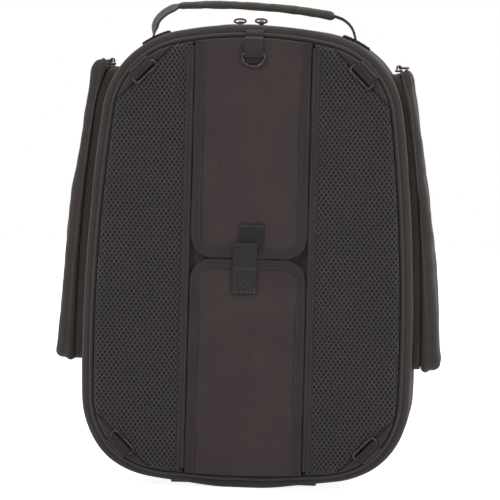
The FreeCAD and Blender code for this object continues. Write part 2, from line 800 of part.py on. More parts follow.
def main():
    os.makedirs("parts", exist_ok=True)
    save("main_gusset", main_gusset())
    save("back_panel", plate(rim_width, 0, back_panel_thickness))
    save("frame_sheet", frame_sheet())
    save("base_board", base_board())
    save("front_apron", front_apron())
    save("lid_shell", lid_shell())
    save("back_piping", piping(rim_width, 0, -1))
    front_cord = piping(front_edge_radius, body_depth, 1)
    save("lid_piping", front_cord.common(above(fold_height + 2 * piping_radius)))
    save("apron_piping", front_cord.common(below(fold_height - 2 * piping_radius)))
    half_gap = moving_gap / 2
    bead_near = zip_depth - half_gap - bead_width
    save("rear_zip_tape", zip_tape(tub_depth, zip_depth - half_gap, bead_near, fold_height))
    save("lid_zip_tape", zip_tape(zip_depth + half_gap, tub_depth + zip_width, zip_depth + half_gap,
                                  fold_height + moving_gap))

    for name, side in SIDES.items():
        save(name + "_mesh_pad", mesh_pad(side))
        save(name + "_pad_binding", pad_binding(side))
        for level_name, level in LEVELS.items():
            corner = level_name + "_" + name + "_corner_"
            save(corner + "patch", corner_patch(side, level))
            save(corner + "loop", corner_loop(side, level))
            save(corner + "ring", corner_ring(side, level))
        save(name + "_handle_anchor", handle_anchor(side))
        save(name + "_pocket_frame", side_pocket_frame(side))
        save(name + "_pocket_door", side_pocket_door(side))
        save(name + "_pocket_slider", on_side_pocket(slider_shape(), side))
        save(name + "_pocket_pull", on_side_pocket(pull_shape(0), side))

    save("upper_flap_header", upper_flap_header())
    save("lower_flap_hem", lower_flap_hem())
    save("upper_flap", flap(True))
    save("upper_flap_binding", flap_binding(True))
    save("fastener_patch", fastener_patch())
    save("lower_flap", flap(False))
    save("lower_flap_binding", flap_binding(False))
    save("closure_strap", closure_strap())

    save("d_ring_tab", d_ring_tab())
    save("d_ring", d_ring())
    save("handle_webbing", handle_webbing())
    save("handle_grip", handle_grip())

    for name, place in (("left", left_slider_place), ("right", right_slider_place)):
        save("main_zip_" + name + "_slider", on_crown(slider_shape(), place))
        save("main_zip_" + name + "_pull", on_crown(pull_shape(pull_tilt), place))

    save("front_pocket_frame", front_pocket_frame())
    save("front_pocket_door", front_pocket_door())
    save("front_pocket_slider", on_front_pocket(slider_shape()))
    save("front_pocket_pull", on_front_pocket(pull_shape(0)))


main()
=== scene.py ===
import json
import math
import bmesh
import bpy
import numpy as np
from mathutils import Matrix, Vector, noise


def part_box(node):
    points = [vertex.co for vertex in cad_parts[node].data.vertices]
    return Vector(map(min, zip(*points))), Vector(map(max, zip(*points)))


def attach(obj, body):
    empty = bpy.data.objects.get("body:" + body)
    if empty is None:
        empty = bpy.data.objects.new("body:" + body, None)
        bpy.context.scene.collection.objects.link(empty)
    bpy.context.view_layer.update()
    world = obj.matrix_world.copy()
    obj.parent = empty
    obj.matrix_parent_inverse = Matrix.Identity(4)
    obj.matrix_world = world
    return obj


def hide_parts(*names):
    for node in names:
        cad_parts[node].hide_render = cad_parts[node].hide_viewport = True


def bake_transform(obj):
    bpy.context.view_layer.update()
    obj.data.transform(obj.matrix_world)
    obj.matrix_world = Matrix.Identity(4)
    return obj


# Dressed model of a soft flight bag. Metres; X across, Y from the harness side to the front, Z up.

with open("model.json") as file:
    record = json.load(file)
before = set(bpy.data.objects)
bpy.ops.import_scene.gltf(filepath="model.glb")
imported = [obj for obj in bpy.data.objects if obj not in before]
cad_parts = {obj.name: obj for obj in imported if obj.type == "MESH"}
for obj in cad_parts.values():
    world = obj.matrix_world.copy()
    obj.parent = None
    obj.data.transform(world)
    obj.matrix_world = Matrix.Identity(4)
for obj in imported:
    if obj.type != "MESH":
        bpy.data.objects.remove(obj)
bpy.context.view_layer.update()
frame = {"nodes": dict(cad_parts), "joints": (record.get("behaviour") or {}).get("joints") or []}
print("frame loaded:", len(frame["nodes"]), "nodes")

mm = 0.001


def low(node):
    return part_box(node)[0]


def high(node):
    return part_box(node)[1]


def centreOf(node):
    return (low(node) + high(node)) / 2


def clamp(value):
    return min(1.0, max(0.0, value))


backY = low("back_panel").y  # outer face of the back panel
padY = low("right_mesh_pad").y  # outer face of the mesh pads
frontY = high("lid_shell").y
foldZ = high("front_apron").z


# colours and cloth

def shade(red, green, blue):
    def linear(value):
        value = value / 255
        return value / 12.92 if value <= 0.04045 else ((value + 0.055) / 1.055) ** 2.4
    return (linear(red), linear(green), linear(blue), 1.0)


def newGroup(name, inputs, outputs):
    group = bpy.data.node_groups.new(name, "ShaderNodeTree")
    for label, value in inputs:
        socket = group.interface.new_socket(label, in_out="INPUT", socket_type="NodeSocketFloat")
        socket.default_value = value
    for label in outputs:
        group.interface.new_socket(label, in_out="OUTPUT", socket_type="NodeSocketFloat")
    return group, group.nodes.new("NodeGroupInput").outputs, group.nodes.new("NodeGroupOutput")


def feed(tree, node, inputs):
    # give a node's inputs values, or the outputs of other nodes
    for label, value in dict(inputs).items():
        if isinstance(value, bpy.types.NodeSocket):
            tree.links.new(value, node.inputs[label])
        else:
            node.inputs[label].default_value = value
    return node


def addNode(tree, kind, inputs=(), **settings):
    node = tree.nodes.new(kind)
    for label, value in settings.items():
        setattr(node, label, value)
    return feed(tree, node, inputs)


def calc(tree, operation, *values):
    return addNode(tree, "ShaderNodeMath", enumerate(values), operation=operation).outputs[0]


def plainWeaveGroup():
    # crossing threads at a given pitch, on whichever object plane the surface faces most
    group, inn, out = newGroup("plainWeave", [("Pitch", 0.8 * mm)], ["Height"])
    coords = group.nodes.new("ShaderNodeTexCoord").outputs
    spot = addNode(group, "ShaderNodeSeparateXYZ", {0: coords["Object"]}).outputs
    facing = addNode(group, "ShaderNodeSeparateXYZ", {0: coords["Normal"]})
    bent = [calc(group, "ABSOLUTE", facing.outputs[axis]) for axis in range(3)]
    acrossX = calc(group, "GREATER_THAN", bent[0], calc(group, "MAXIMUM", bent[1], bent[2]))
    upZ = calc(group, "GREATER_THAN", bent[2], calc(group, "MAXIMUM", bent[0], bent[1]))
    waves = []
    for base, mask in ((spot[0], acrossX), (spot[2], upZ)):
        place = addNode(group, "ShaderNodeMix", {0: mask, 2: base, 3: spot[1]}).outputs[0]
        turns = calc(group, "DIVIDE", calc(group, "MULTIPLY", place, math.pi), inn["Pitch"])
        waves.append(calc(group, "SINE", turns))
    weave = calc(group, "MULTIPLY", *waves)
    grain = addNode(group, "ShaderNodeTexNoise", {"Vector": coords["Object"], "Scale": 520, "Detail": 3})
    fuzz = calc(group, "MULTIPLY", calc(group, "SUBTRACT", grain.outputs["Fac"], 0.5), 3.0)
    feed(group, out, {"Height": calc(group, "ADD", weave, fuzz)})
    return group


def clothAgeGroup():
    # slow drift of tone and a little pale lint that catches on dark cloth
    group, inn, out = newGroup("clothAge", [("Drift", 22.0), ("Lint", 0.5)], ["Tone", "Dust"])
    coords = group.nodes.new("ShaderNodeTexCoord").outputs["Object"]
    slow = addNode(group, "ShaderNodeTexNoise", {"Vector": coords, "Scale": inn["Drift"], "Detail": 9,
                                                 "Roughness": 0.6})
    specks = addNode(group, "ShaderNodeTexNoise", {"Vector": coords, "Scale": 420, "Detail": 2})
    ramp = addNode(group, "ShaderNodeMapRange", {"Value": specks.outputs["Fac"], "From Min": 0.62,
                                                 "From Max": 0.78})
    feed(group, out, {"Tone": slow.outputs["Fac"],
                      "Dust": calc(group, "MULTIPLY", ramp.outputs[0], inn["Lint"])})
    return group


def webbingRibGroup():
    # narrow-loom ribs: fine cross bars over a few lengthways cords, on the strip's own UV in metres
    group, inn, out = newGroup("webbingRib", [("Bar", 1.1 * mm), ("Cord", 2.1 * mm)], ["Height"])
    coords = group.nodes.new("ShaderNodeTexCoord")
    spot = addNode(group, "ShaderNodeSeparateXYZ", {0: coords.outputs["UV"]}).outputs
    turns = [calc(group, "DIVIDE", calc(group, "MULTIPLY", place, 2 * math.pi), inn[label])
             for place, label in ((spot[0], "Cord"), (spot[1], "Bar"))]
    across = calc(group, "SINE", turns[0])
    bars = calc(group, "SINE", calc(group, "ADD", turns[1], calc(group, "MULTIPLY_ADD", across, 0.9)))
    feed(group, out, {"Height": calc(group, "ADD", calc(group, "MULTIPLY", bars, 0.6),
                                     calc(group, "MULTIPLY", across, 0.4))})
    return group


plainWeave = plainWeaveGroup()
clothAge = clothAgeGroup()
webbingRib = webbingRibGroup()


def startMaterial(name):
    material = bpy.data.materials.new(name)
    material.use_nodes = True
    tree = material.node_tree
    return material, tree, tree.nodes["Principled BSDF"]


def twoTone(tree, factor, places, colours):
    ramp = addNode(tree, "ShaderNodeValToRGB", {0: factor})
    for index, (place, colour) in enumerate(zip(places, colours)):
        ramp.color_ramp.elements[index].position = place
        ramp.color_ramp.elements[index].color = colour
    return ramp.outputs[0]


# paintedHollowShade is painted shade: how much the low points of the weave are darkened in the base colour
plainCloth = {"spread": 0.17, "lint": 0.35, "drift": 22.0, "pitch": 0.8 * mm, "rough": 0.85, "gloss": 0.3,
              "sheen": 0.15, "relief": 0.6, "bump": 0.25 * mm, "paintedHollowShade": 0.25}
plainRib = dict(plainCloth, bar=1.1 * mm, cord=2.1 * mm)


def cloth(name, colour, base=plainCloth, **changes):
    look = dict(base, **changes)
    material, tree, shader = startMaterial(name)
    age = addNode(tree, "ShaderNodeGroup", {"Drift": look["drift"], "Lint": look["lint"]}, node_tree=clothAge)
    if base is plainRib:
        threads = addNode(tree, "ShaderNodeGroup", {"Bar": look["bar"], "Cord": look["cord"]},
                          node_tree=webbingRib)
    else:
        threads = addNode(tree, "ShaderNodeGroup", {"Pitch": look["pitch"]}, node_tree=plainWeave)
    height = threads.outputs["Height"]
    shades = [[channel * factor for channel in colour[:3]] + [1]
              for factor in (1 - look["spread"], 1 + look["spread"])]
    tone = twoTone(tree, age.outputs["Tone"], (0.32, 0.68), shades)
    # painted shade: the colour is darkened where the weave is low, as if shaded between the threads
    depth = addNode(tree, "ShaderNodeMapRange",
                    {"Value": height, "From Min": -1, "To Min": 1 - look["paintedHollowShade"],
                     "To Max": 1 + look["paintedHollowShade"] * 0.5})
    hollowShadeMix = addNode(tree, "ShaderNodeMix", {0: 1, 6: tone, 7: depth.outputs[0]}, data_type="RGBA",
                     blend_type="MULTIPLY")
    lint = [min(1, channel * 2.2) for channel in colour[:3]] + [1]
    dusty = addNode(tree, "ShaderNodeMix", {0: age.outputs["Dust"], 6: hollowShadeMix.outputs[2], 7: lint},
                    data_type="RGBA")
    rough = addNode(tree, "ShaderNodeMapRange", {"Value": age.outputs["Tone"], "To Min": look["rough"] - 0.07,
                                                 "To Max": look["rough"] + 0.07})
    bump = addNode(tree, "ShaderNodeBump",
                   {"Strength": look["relief"], "Distance": look["bump"], "Height": height})
    feed(tree, shader, {"Base Color": dusty.outputs[2], "Roughness": rough.outputs[0],
                        "Specular IOR Level": look["gloss"], "Sheen Weight": look["sheen"],
                        "Sheen Roughness": 0.5, "Normal": bump.outputs[0]})
    return material


def metal(name, colour, worn, roughness, metallic):
    material, tree, shader = startMaterial(name)
    coords = tree.nodes.new("ShaderNodeTexCoord")
    rub = addNode(tree, "ShaderNodeTexNoise", {"Vector": coords.outputs["Object"], "Scale": 260, "Detail": 6})
    rub = rub.outputs["Fac"]
    rough = addNode(tree, "ShaderNodeMapRange", {"Value": rub, "To Min": roughness - 0.08,
                                                 "To Max": roughness + 0.12})
    bump = addNode(tree, "ShaderNodeBump", {"Strength": 0.2, "Distance": 0.1 * mm, "Height": rub})
    feed(tree, shader, {"Base Color": twoTone(tree, rub, (0.4, 0.72), (colour, worn)), "Metallic": metallic,
                        "Roughness": rough.outputs[0], "Normal": bump.outputs[0]})
    return material


bodyCloth = cloth("bodyCloth", shade(64, 57, 55), pitch=0.9 * mm, sheen=0.2, lint=0.3)
pocketCloth = cloth("pocketCloth", shade(64, 57, 54), pitch=0.9 * mm, sheen=0.2)
flapCloth = cloth("flapCloth", shade(68, 57, 57), pitch=0.7 * mm, spread=0.14)
cornerCloth = cloth("cornerCloth", shade(60, 54, 53), pitch=0.9 * mm)
# the felt under the net: its own dark colour, darkened further as painted shade for the net's holes
padFeltHoleShade = cloth("padFeltHoleShade", shade(22, 20, 20), pitch=1.3 * mm, sheen=0.05, lint=0.1)
netYarn = cloth("netYarn", shade(60, 54, 54), pitch=0.6 * mm, rough=0.7, lint=0.15, gloss=0.4)
bindingTape = cloth("bindingTape", shade(56, 50, 51), plainRib, bar=0.9 * mm, cord=1.2 * mm, sheen=0.1)
pipingCloth = cloth("pipingCloth", shade(56, 50, 50), plainRib, bar=0.8 * mm, cord=0.9 * mm, rough=0.72,
                    gloss=0.45)
webbing = cloth("webbing", shade(48, 42, 43), plainRib, bump=0.35 * mm, rough=0.75, gloss=0.25)
strapWebbing = cloth("strapWebbing", shade(45, 40, 42), plainRib, bump=0.3 * mm, rough=0.75)
handleWebbing = cloth("handleWebbing", shade(76, 69, 67), plainRib, bump=0.35 * mm, rough=0.7)
gripCloth = cloth("gripCloth", shade(82, 74, 69), pitch=0.9 * mm, sheen=0.25)
hookTape = cloth("hookTape", shade(42, 38, 39), pitch=0.5 * mm, relief=1.0, bump=0.4 * mm)
zipCloth = cloth("zipCloth", shade(48, 44, 44), pitch=0.6 * mm)
# painted light: the back panel's cloth is much lighter than the body cloth, to make up for the little light
# that reaches the cavity between the flaps
cavityPaintedLightCloth = cloth("cavityPaintedLightCloth", shade(92, 84, 82), pitch=0.9 * mm)
lining = cloth("lining", shade(70, 68, 70), pitch=0.5 * mm, sheen=0.05, rough=0.7)
thread = cloth("thread", shade(80, 73, 74), pitch=0.3 * mm, rough=0.6, gloss=0.5)
ringMetal = metal("ringMetal", shade(52, 48, 49), shade(92, 86, 86), 0.4, 0.75)
zipMetal = metal("zipMetal", shade(74, 65, 60), shade(118, 106, 98), 0.36, 0.9)
coilNylon = metal("coilNylon", shade(46, 42, 43), shade(66, 61, 62), 0.45, 0.0)
print("materials ready")


# outline of the body, as arcs that meet tangentially

bag = {"height": 0.478, "width": 0.341, "widest": 0.150, "sideRadius": 1.9, "crownRadius": 0.4,
       "topCorner": 0.095, "baseCorner": 0.095, "rim": 0.0105, "padInset": 0.0133, "wall": 0.004,
       "rearRound": 0.009, "frontRound": 0.018, "step": 0.003}


def circlesMeet(first, firstRadius, second, secondRadius):
    apart = math.dist(first, second)
    along = (firstRadius ** 2 - secondRadius ** 2 + apart ** 2) / (2 * apart)
    aside = math.sqrt(firstRadius ** 2 - along ** 2)
    ux, uz = (second[0] - first[0]) / apart, (second[1] - first[1]) / apart
    return max((first[0] + along * ux - sign * aside * uz, first[1] + along * uz + sign * aside * ux)
               for sign in (1, -1))


sideCentre = (bag["width"] / 2 - bag["sideRadius"], bag["widest"])
crownCentre = (0.0, bag["height"] - bag["crownRadius"])
topCentre = circlesMeet(sideCentre, bag["sideRadius"] - bag["topCorner"], crownCentre,
                        bag["crownRadius"] - bag["topCorner"])
baseRise = bag["baseCorner"] - bag["widest"]
baseCentre = (sideCentre[0] + math.sqrt((bag["sideRadius"] - bag["baseCorner"]) ** 2 - baseRise ** 2),
              bag["baseCorner"])


def angleTo(start, end):
    return math.atan2(end[1] - start[1], end[0] - start[0])


class Loop:
    # right half of an outline from bottom middle to top middle: points and outward normals
    def __init__(self, points, normals):
        self.points = np.array(points, float)
        self.normals = np.array(normals, float)

    def inset(self, distance):
        return self.points - self.normals * distance

    def whole(self):
        flip = np.array([-1.0, 1.0])
        points = np.vstack([self.points, (self.points * flip)[-2:0:-1]])
        normals = np.vstack([self.normals, (self.normals * flip)[-2:0:-1]])
        return Loop(points, normals)

    def above(self, height):
        keep = self.points[:, 1] >= height
        start = np.argmax(keep)
        before, after = self.points[start - 1], self.points[start]
        share = (height - before[1]) / (after[1] - before[1])
        edge = before + (after - before) * share
        normal = self.normals[start - 1] * (1 - share) + self.normals[start] * share
        return Loop(np.vstack([edge, self.points[keep]]), np.vstack([normal, self.normals[keep]]))

    def below(self, height):
        flipped = Loop(-self.points[::-1], -self.normals[::-1]).above(-height)
        return Loop(-flipped.points[::-1], -flipped.normals[::-1])


def arcSamples(centre, radius, start, end, step):
    count = max(2, math.ceil(abs(end - start) * radius / step))
    angles = [start + (end - start) * place / count for place in range(count)]
    return ([(centre[0] + radius * math.cos(a), centre[1] + radius * math.sin(a)) for a in angles],
            [(math.cos(a), math.sin(a)) for a in angles])


def bodyLoop(step):
    lowAngle, highAngle = angleTo(sideCentre, baseCentre), angleTo(sideCentre, topCentre)
    crownAngle = angleTo(crownCentre, topCentre)
    count = math.ceil(baseCentre[0] / step)
    points = [(baseCentre[0] * place / count, 0.0) for place in range(count)]
    normals = [(0.0, -1.0)] * count
    for centre, radius, start, end in ((baseCentre, bag["baseCorner"], -math.pi / 2, lowAngle),
                                       (sideCentre, bag["sideRadius"], lowAngle, highAngle),
                                       (topCentre, bag["topCorner"], highAngle, crownAngle),
                                       (crownCentre, bag["crownRadius"], crownAngle, math.pi / 2)):
        more, turned = arcSamples(centre, radius, start, end, step)
        points += more
        normals += turned
    return Loop(points + [(0.0, bag["height"])], normals + [(0.0, 1.0)])


def rectangleLoop(halfWidth, bottom, top, lowRadius, highRadius, step):
    points, normals = [(0.0, bottom)], [(0.0, -1.0)]
    rounds = ((bottom + lowRadius, lowRadius, -math.pi / 2), (top - highRadius, highRadius, 0))
    for centreZ, radius, start in rounds:
        more, turned = arcSamples((halfWidth - radius, centreZ), max(radius, 1e-5), start,
                                  start + math.pi / 2, min(step, max(radius, 1e-5) / 2))
        points += more + [(halfWidth - radius + max(radius, 1e-5) * math.cos(start + math.pi / 2),
                           centreZ + max(radius, 1e-5) * math.sin(start + math.pi / 2))]
        normals += turned + [(math.cos(start + math.pi / 2), math.sin(start + math.pi / 2))]
    points.append((0.0, top))
    normals.append((0.0, 1.0))
    full, turned = [points[0]], [normals[0]]
    for index in range(1, len(points)):
        gap = math.dist(points[index - 1], points[index])
        pieces = max(1, math.ceil(gap / step))
        for piece in range(1, pieces + 1):
            share = piece / pieces
            full.append(tuple(np.array(points[index - 1]) * (1 - share) + np.array(points[index]) * share))
            mixed = np.array(normals[index - 1]) * (1 - share) + np.array(normals[index]) * share
            turned.append(tuple(mixed / np.linalg.norm(mixed)))
    return Loop(full, turned)


body = bodyLoop(bag["step"])


def bodyHalfWidth(height, outset=0.0):
    points = body.inset(-outset)
    part = points[(points[:, 1] >= bag["widest"]) == (height >= bag["widest"])]
    order = np.argsort(part[:, 1])
    return float(np.interp(height, part[order, 1], part[order, 0]))


# mesh helpers

def showMesh(name, mesh):
    obj = bpy.data.objects.new(name, mesh)
    bpy.context.scene.collection.objects.link(obj)
    return obj


def meshPiece(name, verts, faces, material, uvs=None):
    mesh = bpy.data.meshes.new(name)
    mesh.from_pydata([tuple(v) for v in verts], [], faces)
    if uvs is not None:
        layer = mesh.uv_layers.new(name="UVMap")
        layer.data.foreach_set("uv", np.array(uvs, np.float32).reshape(-1))
    obj = showMesh(name, mesh)
    mesh.materials.append(material)
    closeUp(obj)
    return obj


def closeUp(obj, merge=1e-6):
    work = bmesh.new()
    work.from_mesh(obj.data)
    bmesh.ops.remove_doubles(work, verts=work.verts, dist=merge)
    bmesh.ops.dissolve_degenerate(work, edges=work.edges, dist=merge)
    bmesh.ops.recalc_face_normals(work, faces=work.faces)
    for face in work.faces:
        face.smooth = True
    work.to_mesh(obj.data)
    work.free()


def lattice(name, grid, material, roundI=False, roundJ=False, capped=True, uvStep=None):
    # a grid of points as a skin; roundI and roundJ join its last row or column to the first
    rows, columns = grid.shape[:2]
    along = np.zeros(rows + 1)
    across = np.zeros(columns + 1)
    wrapped = np.concatenate([grid, grid[:1]], 0)
    along[1:] = np.cumsum(np.linalg.norm(np.diff(wrapped.mean(1), axis=0), axis=1))
    if roundI:
        sideways = np.linalg.norm(np.diff(np.concatenate([grid, grid[:1]], 0)[:, 0], axis=0), axis=1)
        along[1:] = np.cumsum(sideways)
    middle = np.concatenate([grid, grid[:, :1]], 1)[rows // 2]
    across[1:] = np.cumsum(np.linalg.norm(np.diff(middle, axis=0), axis=1))
    faces, uvs = [], []
    for i in range(rows if roundI else rows - 1):
        for j in range(columns if roundJ else columns - 1):
            nextI, nextJ = (i + 1) % rows, (j + 1) % columns
            faces.append((i * columns + j, nextI * columns + j, nextI * columns + nextJ, i * columns + nextJ))
            uvs += [(across[j], along[i]), (across[j], along[i + 1]), (across[j + 1], along[i + 1]),
                    (across[j + 1], along[i])]
    if capped and roundJ and not roundI:
        for row in (0, rows - 1):
            faces.append(tuple(row * columns + j for j in range(columns)))
            uvs += [(0.0, 0.0)] * columns
    return meshPiece(name, grid.reshape(-1, 3), faces, material, uvs)


def ruffle(obj, waves, mask=None):
    # push the skin along its normals with soft noise; each wave is (height, size, seed, upright stretch)
    for vertex in obj.data.vertices:
        amount = 0.0
        for height, size, seed, *stretch in waves:
            spot = Vector((vertex.co.x, vertex.co.y, vertex.co.z / (stretch[0] if stretch else 1)))
            amount += height * noise.noise(spot / size + Vector((seed, seed * 0.7, -seed)))
        if mask:
            amount *= mask(vertex.co)
        vertex.co += vertex.normal * amount
    obj.data.update()
    return obj


def roundedProfile(corners, steps=6):
    # a side profile from (a, b, radius) corners, with quarter rounds; open at both ends
    result = []
    for index, (a, b, radius) in enumerate(corners):
        here = np.array([a, b])
        if radius == 0 or index in (0, len(corners) - 1):
            result.append((a, b))
            continue
        before = np.array(corners[index - 1][:2]) - here
        after = np.array(corners[index + 1][:2]) - here
        before, after = before / np.linalg.norm(before), after / np.linalg.norm(after)
        for step in range(steps + 1):
            share = step / steps
            spot = here + radius * (before * (1 - share) ** 2 + after * share ** 2)
            result.append(tuple(spot))
    return result


def ringShell(name, loop, profile, material, place):
    # sweep a closed profile of (inset, depth) round a whole outline
    whole = loop.whole()
    grid = np.array([[place(*(point - normal * inset), depth) for inset, depth in profile]
                     for point, normal in zip(whole.points, whole.normals)])
    return lattice(name, grid, material, roundI=True, roundJ=True)


def facing(x, z, y):
    return (x, y, z)


def distanceTo(points, loopPoints):
    starts = loopPoints
    ends = np.roll(loopPoints, -1, axis=0)
    best = np.full(len(points), 1e9)
    for start, end in zip(starts, ends):
        way = end - start
        length = way @ way
        if length < 1e-16:
            continue
        share = np.clip(((points - start) @ way) / length, 0, 1)
        best = np.minimum(best, np.linalg.norm(points - start - share[:, None] * way, axis=1))
    return best


def softTray(name, loop, base, top, look, material, place):
    # a sewn tray or lid: walls round the outline, a soft edge and a puffed outer panel, with an inner skin
    edge, wall, bulge = look["edge"], look["wall"], look.get("bulge", 0.0)
    steps = 7
    innerEdge = max(edge - wall, wall * 0.5)

    def sideLine(start, radius, down):
        # (inset, share of the wall, depth below the top)
        line = [(start - bulge * math.sin(math.pi * share), share, None)
                for share in np.linspace(0, 1, steps)[:-1]]
        return line + [(start + radius * (1 - math.cos(a)), None, down + radius * (1 - math.sin(a)))
                       for a in np.linspace(0, math.pi / 2, steps)]

    outer, inner = sideLine(0.0, edge, 0.0), sideLine(wall, innerEdge, wall)
    columns = look.get("columns", 34)
    shares = np.linspace(1, -1, columns)[1:-1]
    rows = []
    last = loop.inset(outer[-1][0])
    rim = np.vstack([last, (last * [-1, 1])[::-1]])
    for point, normal in zip(loop.points, loop.normals):
        def half(profile, sign):
            spots = []
            for inset, share, down in profile:
                a, b = point - normal * inset
                a = max(a, 0.0)
                foot = base(b)
                wallTop = top(b) - profile[steps - 1][2]
                depth = top(b) - down if share is None else foot + (wallTop - foot) * share
                spots.append(place(sign * a, b, depth))
            return spots
        front = half(outer, 1)
        a, b = point - normal * outer[-1][0]
        a = max(a, 0.0)
        spots = np.array([[a * share, b] for share in shares])
        near = distanceTo(spots, rim)
        crown = look["puff"] * (1 - np.exp(-near / look.get("puffSpread", 0.03)))
        panel = [place(spot[0], spot[1], top(spot[1]) + rise) for spot, rise in zip(spots, crown)]
        back = half(outer, -1)[::-1]
        innerA, innerB = point - normal * inner[-1][0]
        innerA = max(innerA, 0.0)
        floor = [place(-innerA * share, innerB, top(innerB) - wall + rise)
                 for share, rise in zip(shares, crown)]
        rows.append(front + panel + back + half(inner, -1) + floor + half(inner, 1)[::-1])
    return lattice(name, np.array(rows), material, roundJ=True)


def clipLoop(points, normal, limit):
    # keep the part of a closed outline where normal . point <= limit
    kept = []
    count = len(points)
    for index in range(count):
        here, after = points[index], points[(index + 1) % count]
        insideHere, insideAfter = here @ normal <= limit, after @ normal <= limit
        if insideHere:
            kept.append(here)
        if insideHere != insideAfter:
            share = (limit - here @ normal) / ((after - here) @ normal)
            kept.append(here + (after - here) * share)
    return np.array(kept)


def span(loopPoints, height):
    # left and right ends of a convex outline at a height
    hits = []
    height = min(max(height, loopPoints[:, 1].min() + 1e-7), loopPoints[:, 1].max() - 1e-7)
    for start, end in zip(loopPoints, np.roll(loopPoints, -1, axis=0)):
        foot, tip = sorted((start[1], end[1]))
        if foot - 1e-9 <= height <= tip + 1e-9:
            if tip - foot < 1e-9:
                hits += [start[0], end[0]]
            else:
                share = (height - start[1]) / (end[1] - start[1])
                hits.append(start[0] + (end[0] - start[0]) * share)
    return min(hits), max(hits)


def softPanel(name, loopPoints, look, material, backDepth, frontDepth):
    # a sewn panel with soft edges between two depths, which may change with height; it faces -Y
    bottom, top = loopPoints[:, 1].min(), loopPoints[:, 1].max()
    back = backDepth if callable(backDepth) else (lambda z: backDepth)
    front = frontDepth if callable(frontDepth) else (lambda z: frontDepth)
    step = look.get("step", 0.004)
    heights = list(np.arange(bottom, top, step)) + [top]
    close = look["edge"]
    for share in (0.04, 0.12, 0.25, 0.45, 0.7):
        heights += [bottom + close * share, top - close * share]
    heights += [z for z in loopPoints[:, 1]] + list(look.get("heights", ()))
    heights = sorted(set(round(z, 5) for z in heights if bottom <= z <= top))
    heights = [z for before, z in zip([-1.0] + heights, heights) if z - before > 0.00008]
    columns = look.get("columns", 28)
    uniform = np.linspace(0, 1, columns)
    shares = 0.45 * uniform + 0.55 * (0.5 - 0.5 * np.cos(math.pi * uniform))
    spots = np.array([[start + (end - start) * share, z] for z in heights
                      for start, end in [span(loopPoints, z)] for share in shares])
    near = distanceTo(spots, loopPoints)
    rounding = np.sqrt(np.clip(1 - (1 - np.clip(near / close, 0, 1)) ** 2, 0, 1))
    lifted = (look.get("puff", 0) * (1 - np.exp(-near / look.get("puffSpread", 0.02)))
              - look["drop"] * (1 - rounding))
    for index, (x, z) in enumerate(spots):
        calm = min(1.0, near[index] / look.get("calm", close))
        for amount, size, seed in look.get("waves", ()):
            lifted[index] += calm * amount * noise.noise(Vector((x / size, seed, z / size)))
    shape = (len(heights), columns)
    faces = np.array([front(z) for z in spots[:, 1]]) - lifted
    backs = np.array([back(z) for z in spots[:, 1]])
    outside = np.stack([spots[:, 0], np.minimum(faces, backs - 0.4 * mm), spots[:, 1]], 1).reshape(*shape, 3)
    inside = np.stack([spots[:, 0], backs, spots[:, 1]], 1).reshape(*shape, 3)
    grid = np.concatenate([outside, inside[:, ::-1]], 1)
    obj = lattice(name, grid, material, roundJ=True, capped=False)
    work = bmesh.new()
    work.from_mesh(obj.data)
    bmesh.ops.holes_fill(work, edges=[edge for edge in work.edges if edge.is_boundary], sides=0)
    bmesh.ops.recalc_face_normals(work, faces=work.faces)
    work.to_mesh(obj.data)
    work.free()
    return obj


def smoothPath(points, step):
    # a Catmull-Rom line through the points, evenly resampled
    points = [Vector(p) for p in points]
    ends = [points[0] * 2 - points[1]] + points + [points[-1] * 2 - points[-2]]
    fine = []
    for index in range(1, len(ends) - 2):
        p0, p1, p2, p3 = ends[index - 1:index + 3]
        for part in range(12):
            t = part / 12
            fine.append(0.5 * ((2 * p1) + (p2 - p0) * t + (2 * p0 - 5 * p1 + 4 * p2 - p3) * t ** 2
                               + (3 * p1 - p0 - 3 * p2 + p3) * t ** 3))
    fine.append(points[-1])
    return evenPath(fine, step)


def evenPath(points, step, closed=False):
    points = np.array([tuple(p) for p in points], float)
    if closed:
        points = np.vstack([points, points[:1]])
    lengths = np.concatenate([[0], np.cumsum(np.linalg.norm(np.diff(points, axis=0), axis=1))])
    count = max(2, math.ceil(lengths[-1] / step))
    places = np.linspace(0, lengths[-1], count + 1)
    if closed:
        places = places[:-1]
    return np.stack([np.interp(places, lengths, points[:, axis]) for axis in range(3)], 1)


def roundSection(radius, sides=10):
    return [(radius * math.cos(2 * math.pi * k / sides), radius * math.sin(2 * math.pi * k / sides))
            for k in range(sides)]


def stripSection(width, thickness, crown=0.0):
    # section of a woven strip with soft selvedges
    half, bend = width / 2, thickness / 2
    across = [half - bend * 0.5, half * 0.66, half * 0.33, 0, -half * 0.33, -half * 0.66, -half + bend * 0.5]
    topSide = [(a, bend + crown * (1 - (a / half) ** 2)) for a in across]
    return [(half, 0.0)] + topSide + [(-half, 0.0)] + [(a, -bend) for a in reversed(across)]


def sweep(name, path, side, section, material, closed=False, twist=None):
    # carry a section along a path; side is the direction of its first axis
    path = np.array(path, float)
    count = len(path)
    if closed:
        ways = np.roll(path, -1, axis=0) - np.roll(path, 1, axis=0)
    else:
        ways = np.gradient(path, axis=0)
    rows = []
    for index in range(count):
        way = Vector(ways[index]).normalized()
        across = Vector(side(index / max(count - 1, 1)) if callable(side) else side)
        if twist:
            across = Matrix.Rotation(twist(index / (count - 1)), 3, way) @ across
        across = (across - way * across.dot(way)).normalized()
        out = across.cross(way)
        rows.append([tuple(Vector(path[index]) + across * a + out * b) for a, b in section])
    return lattice(name, np.array(rows), material, roundI=closed, roundJ=True)


sag = {"lift": 7 * mm, "from": 15 * mm, "to": 95 * mm, "height": 40 * mm}


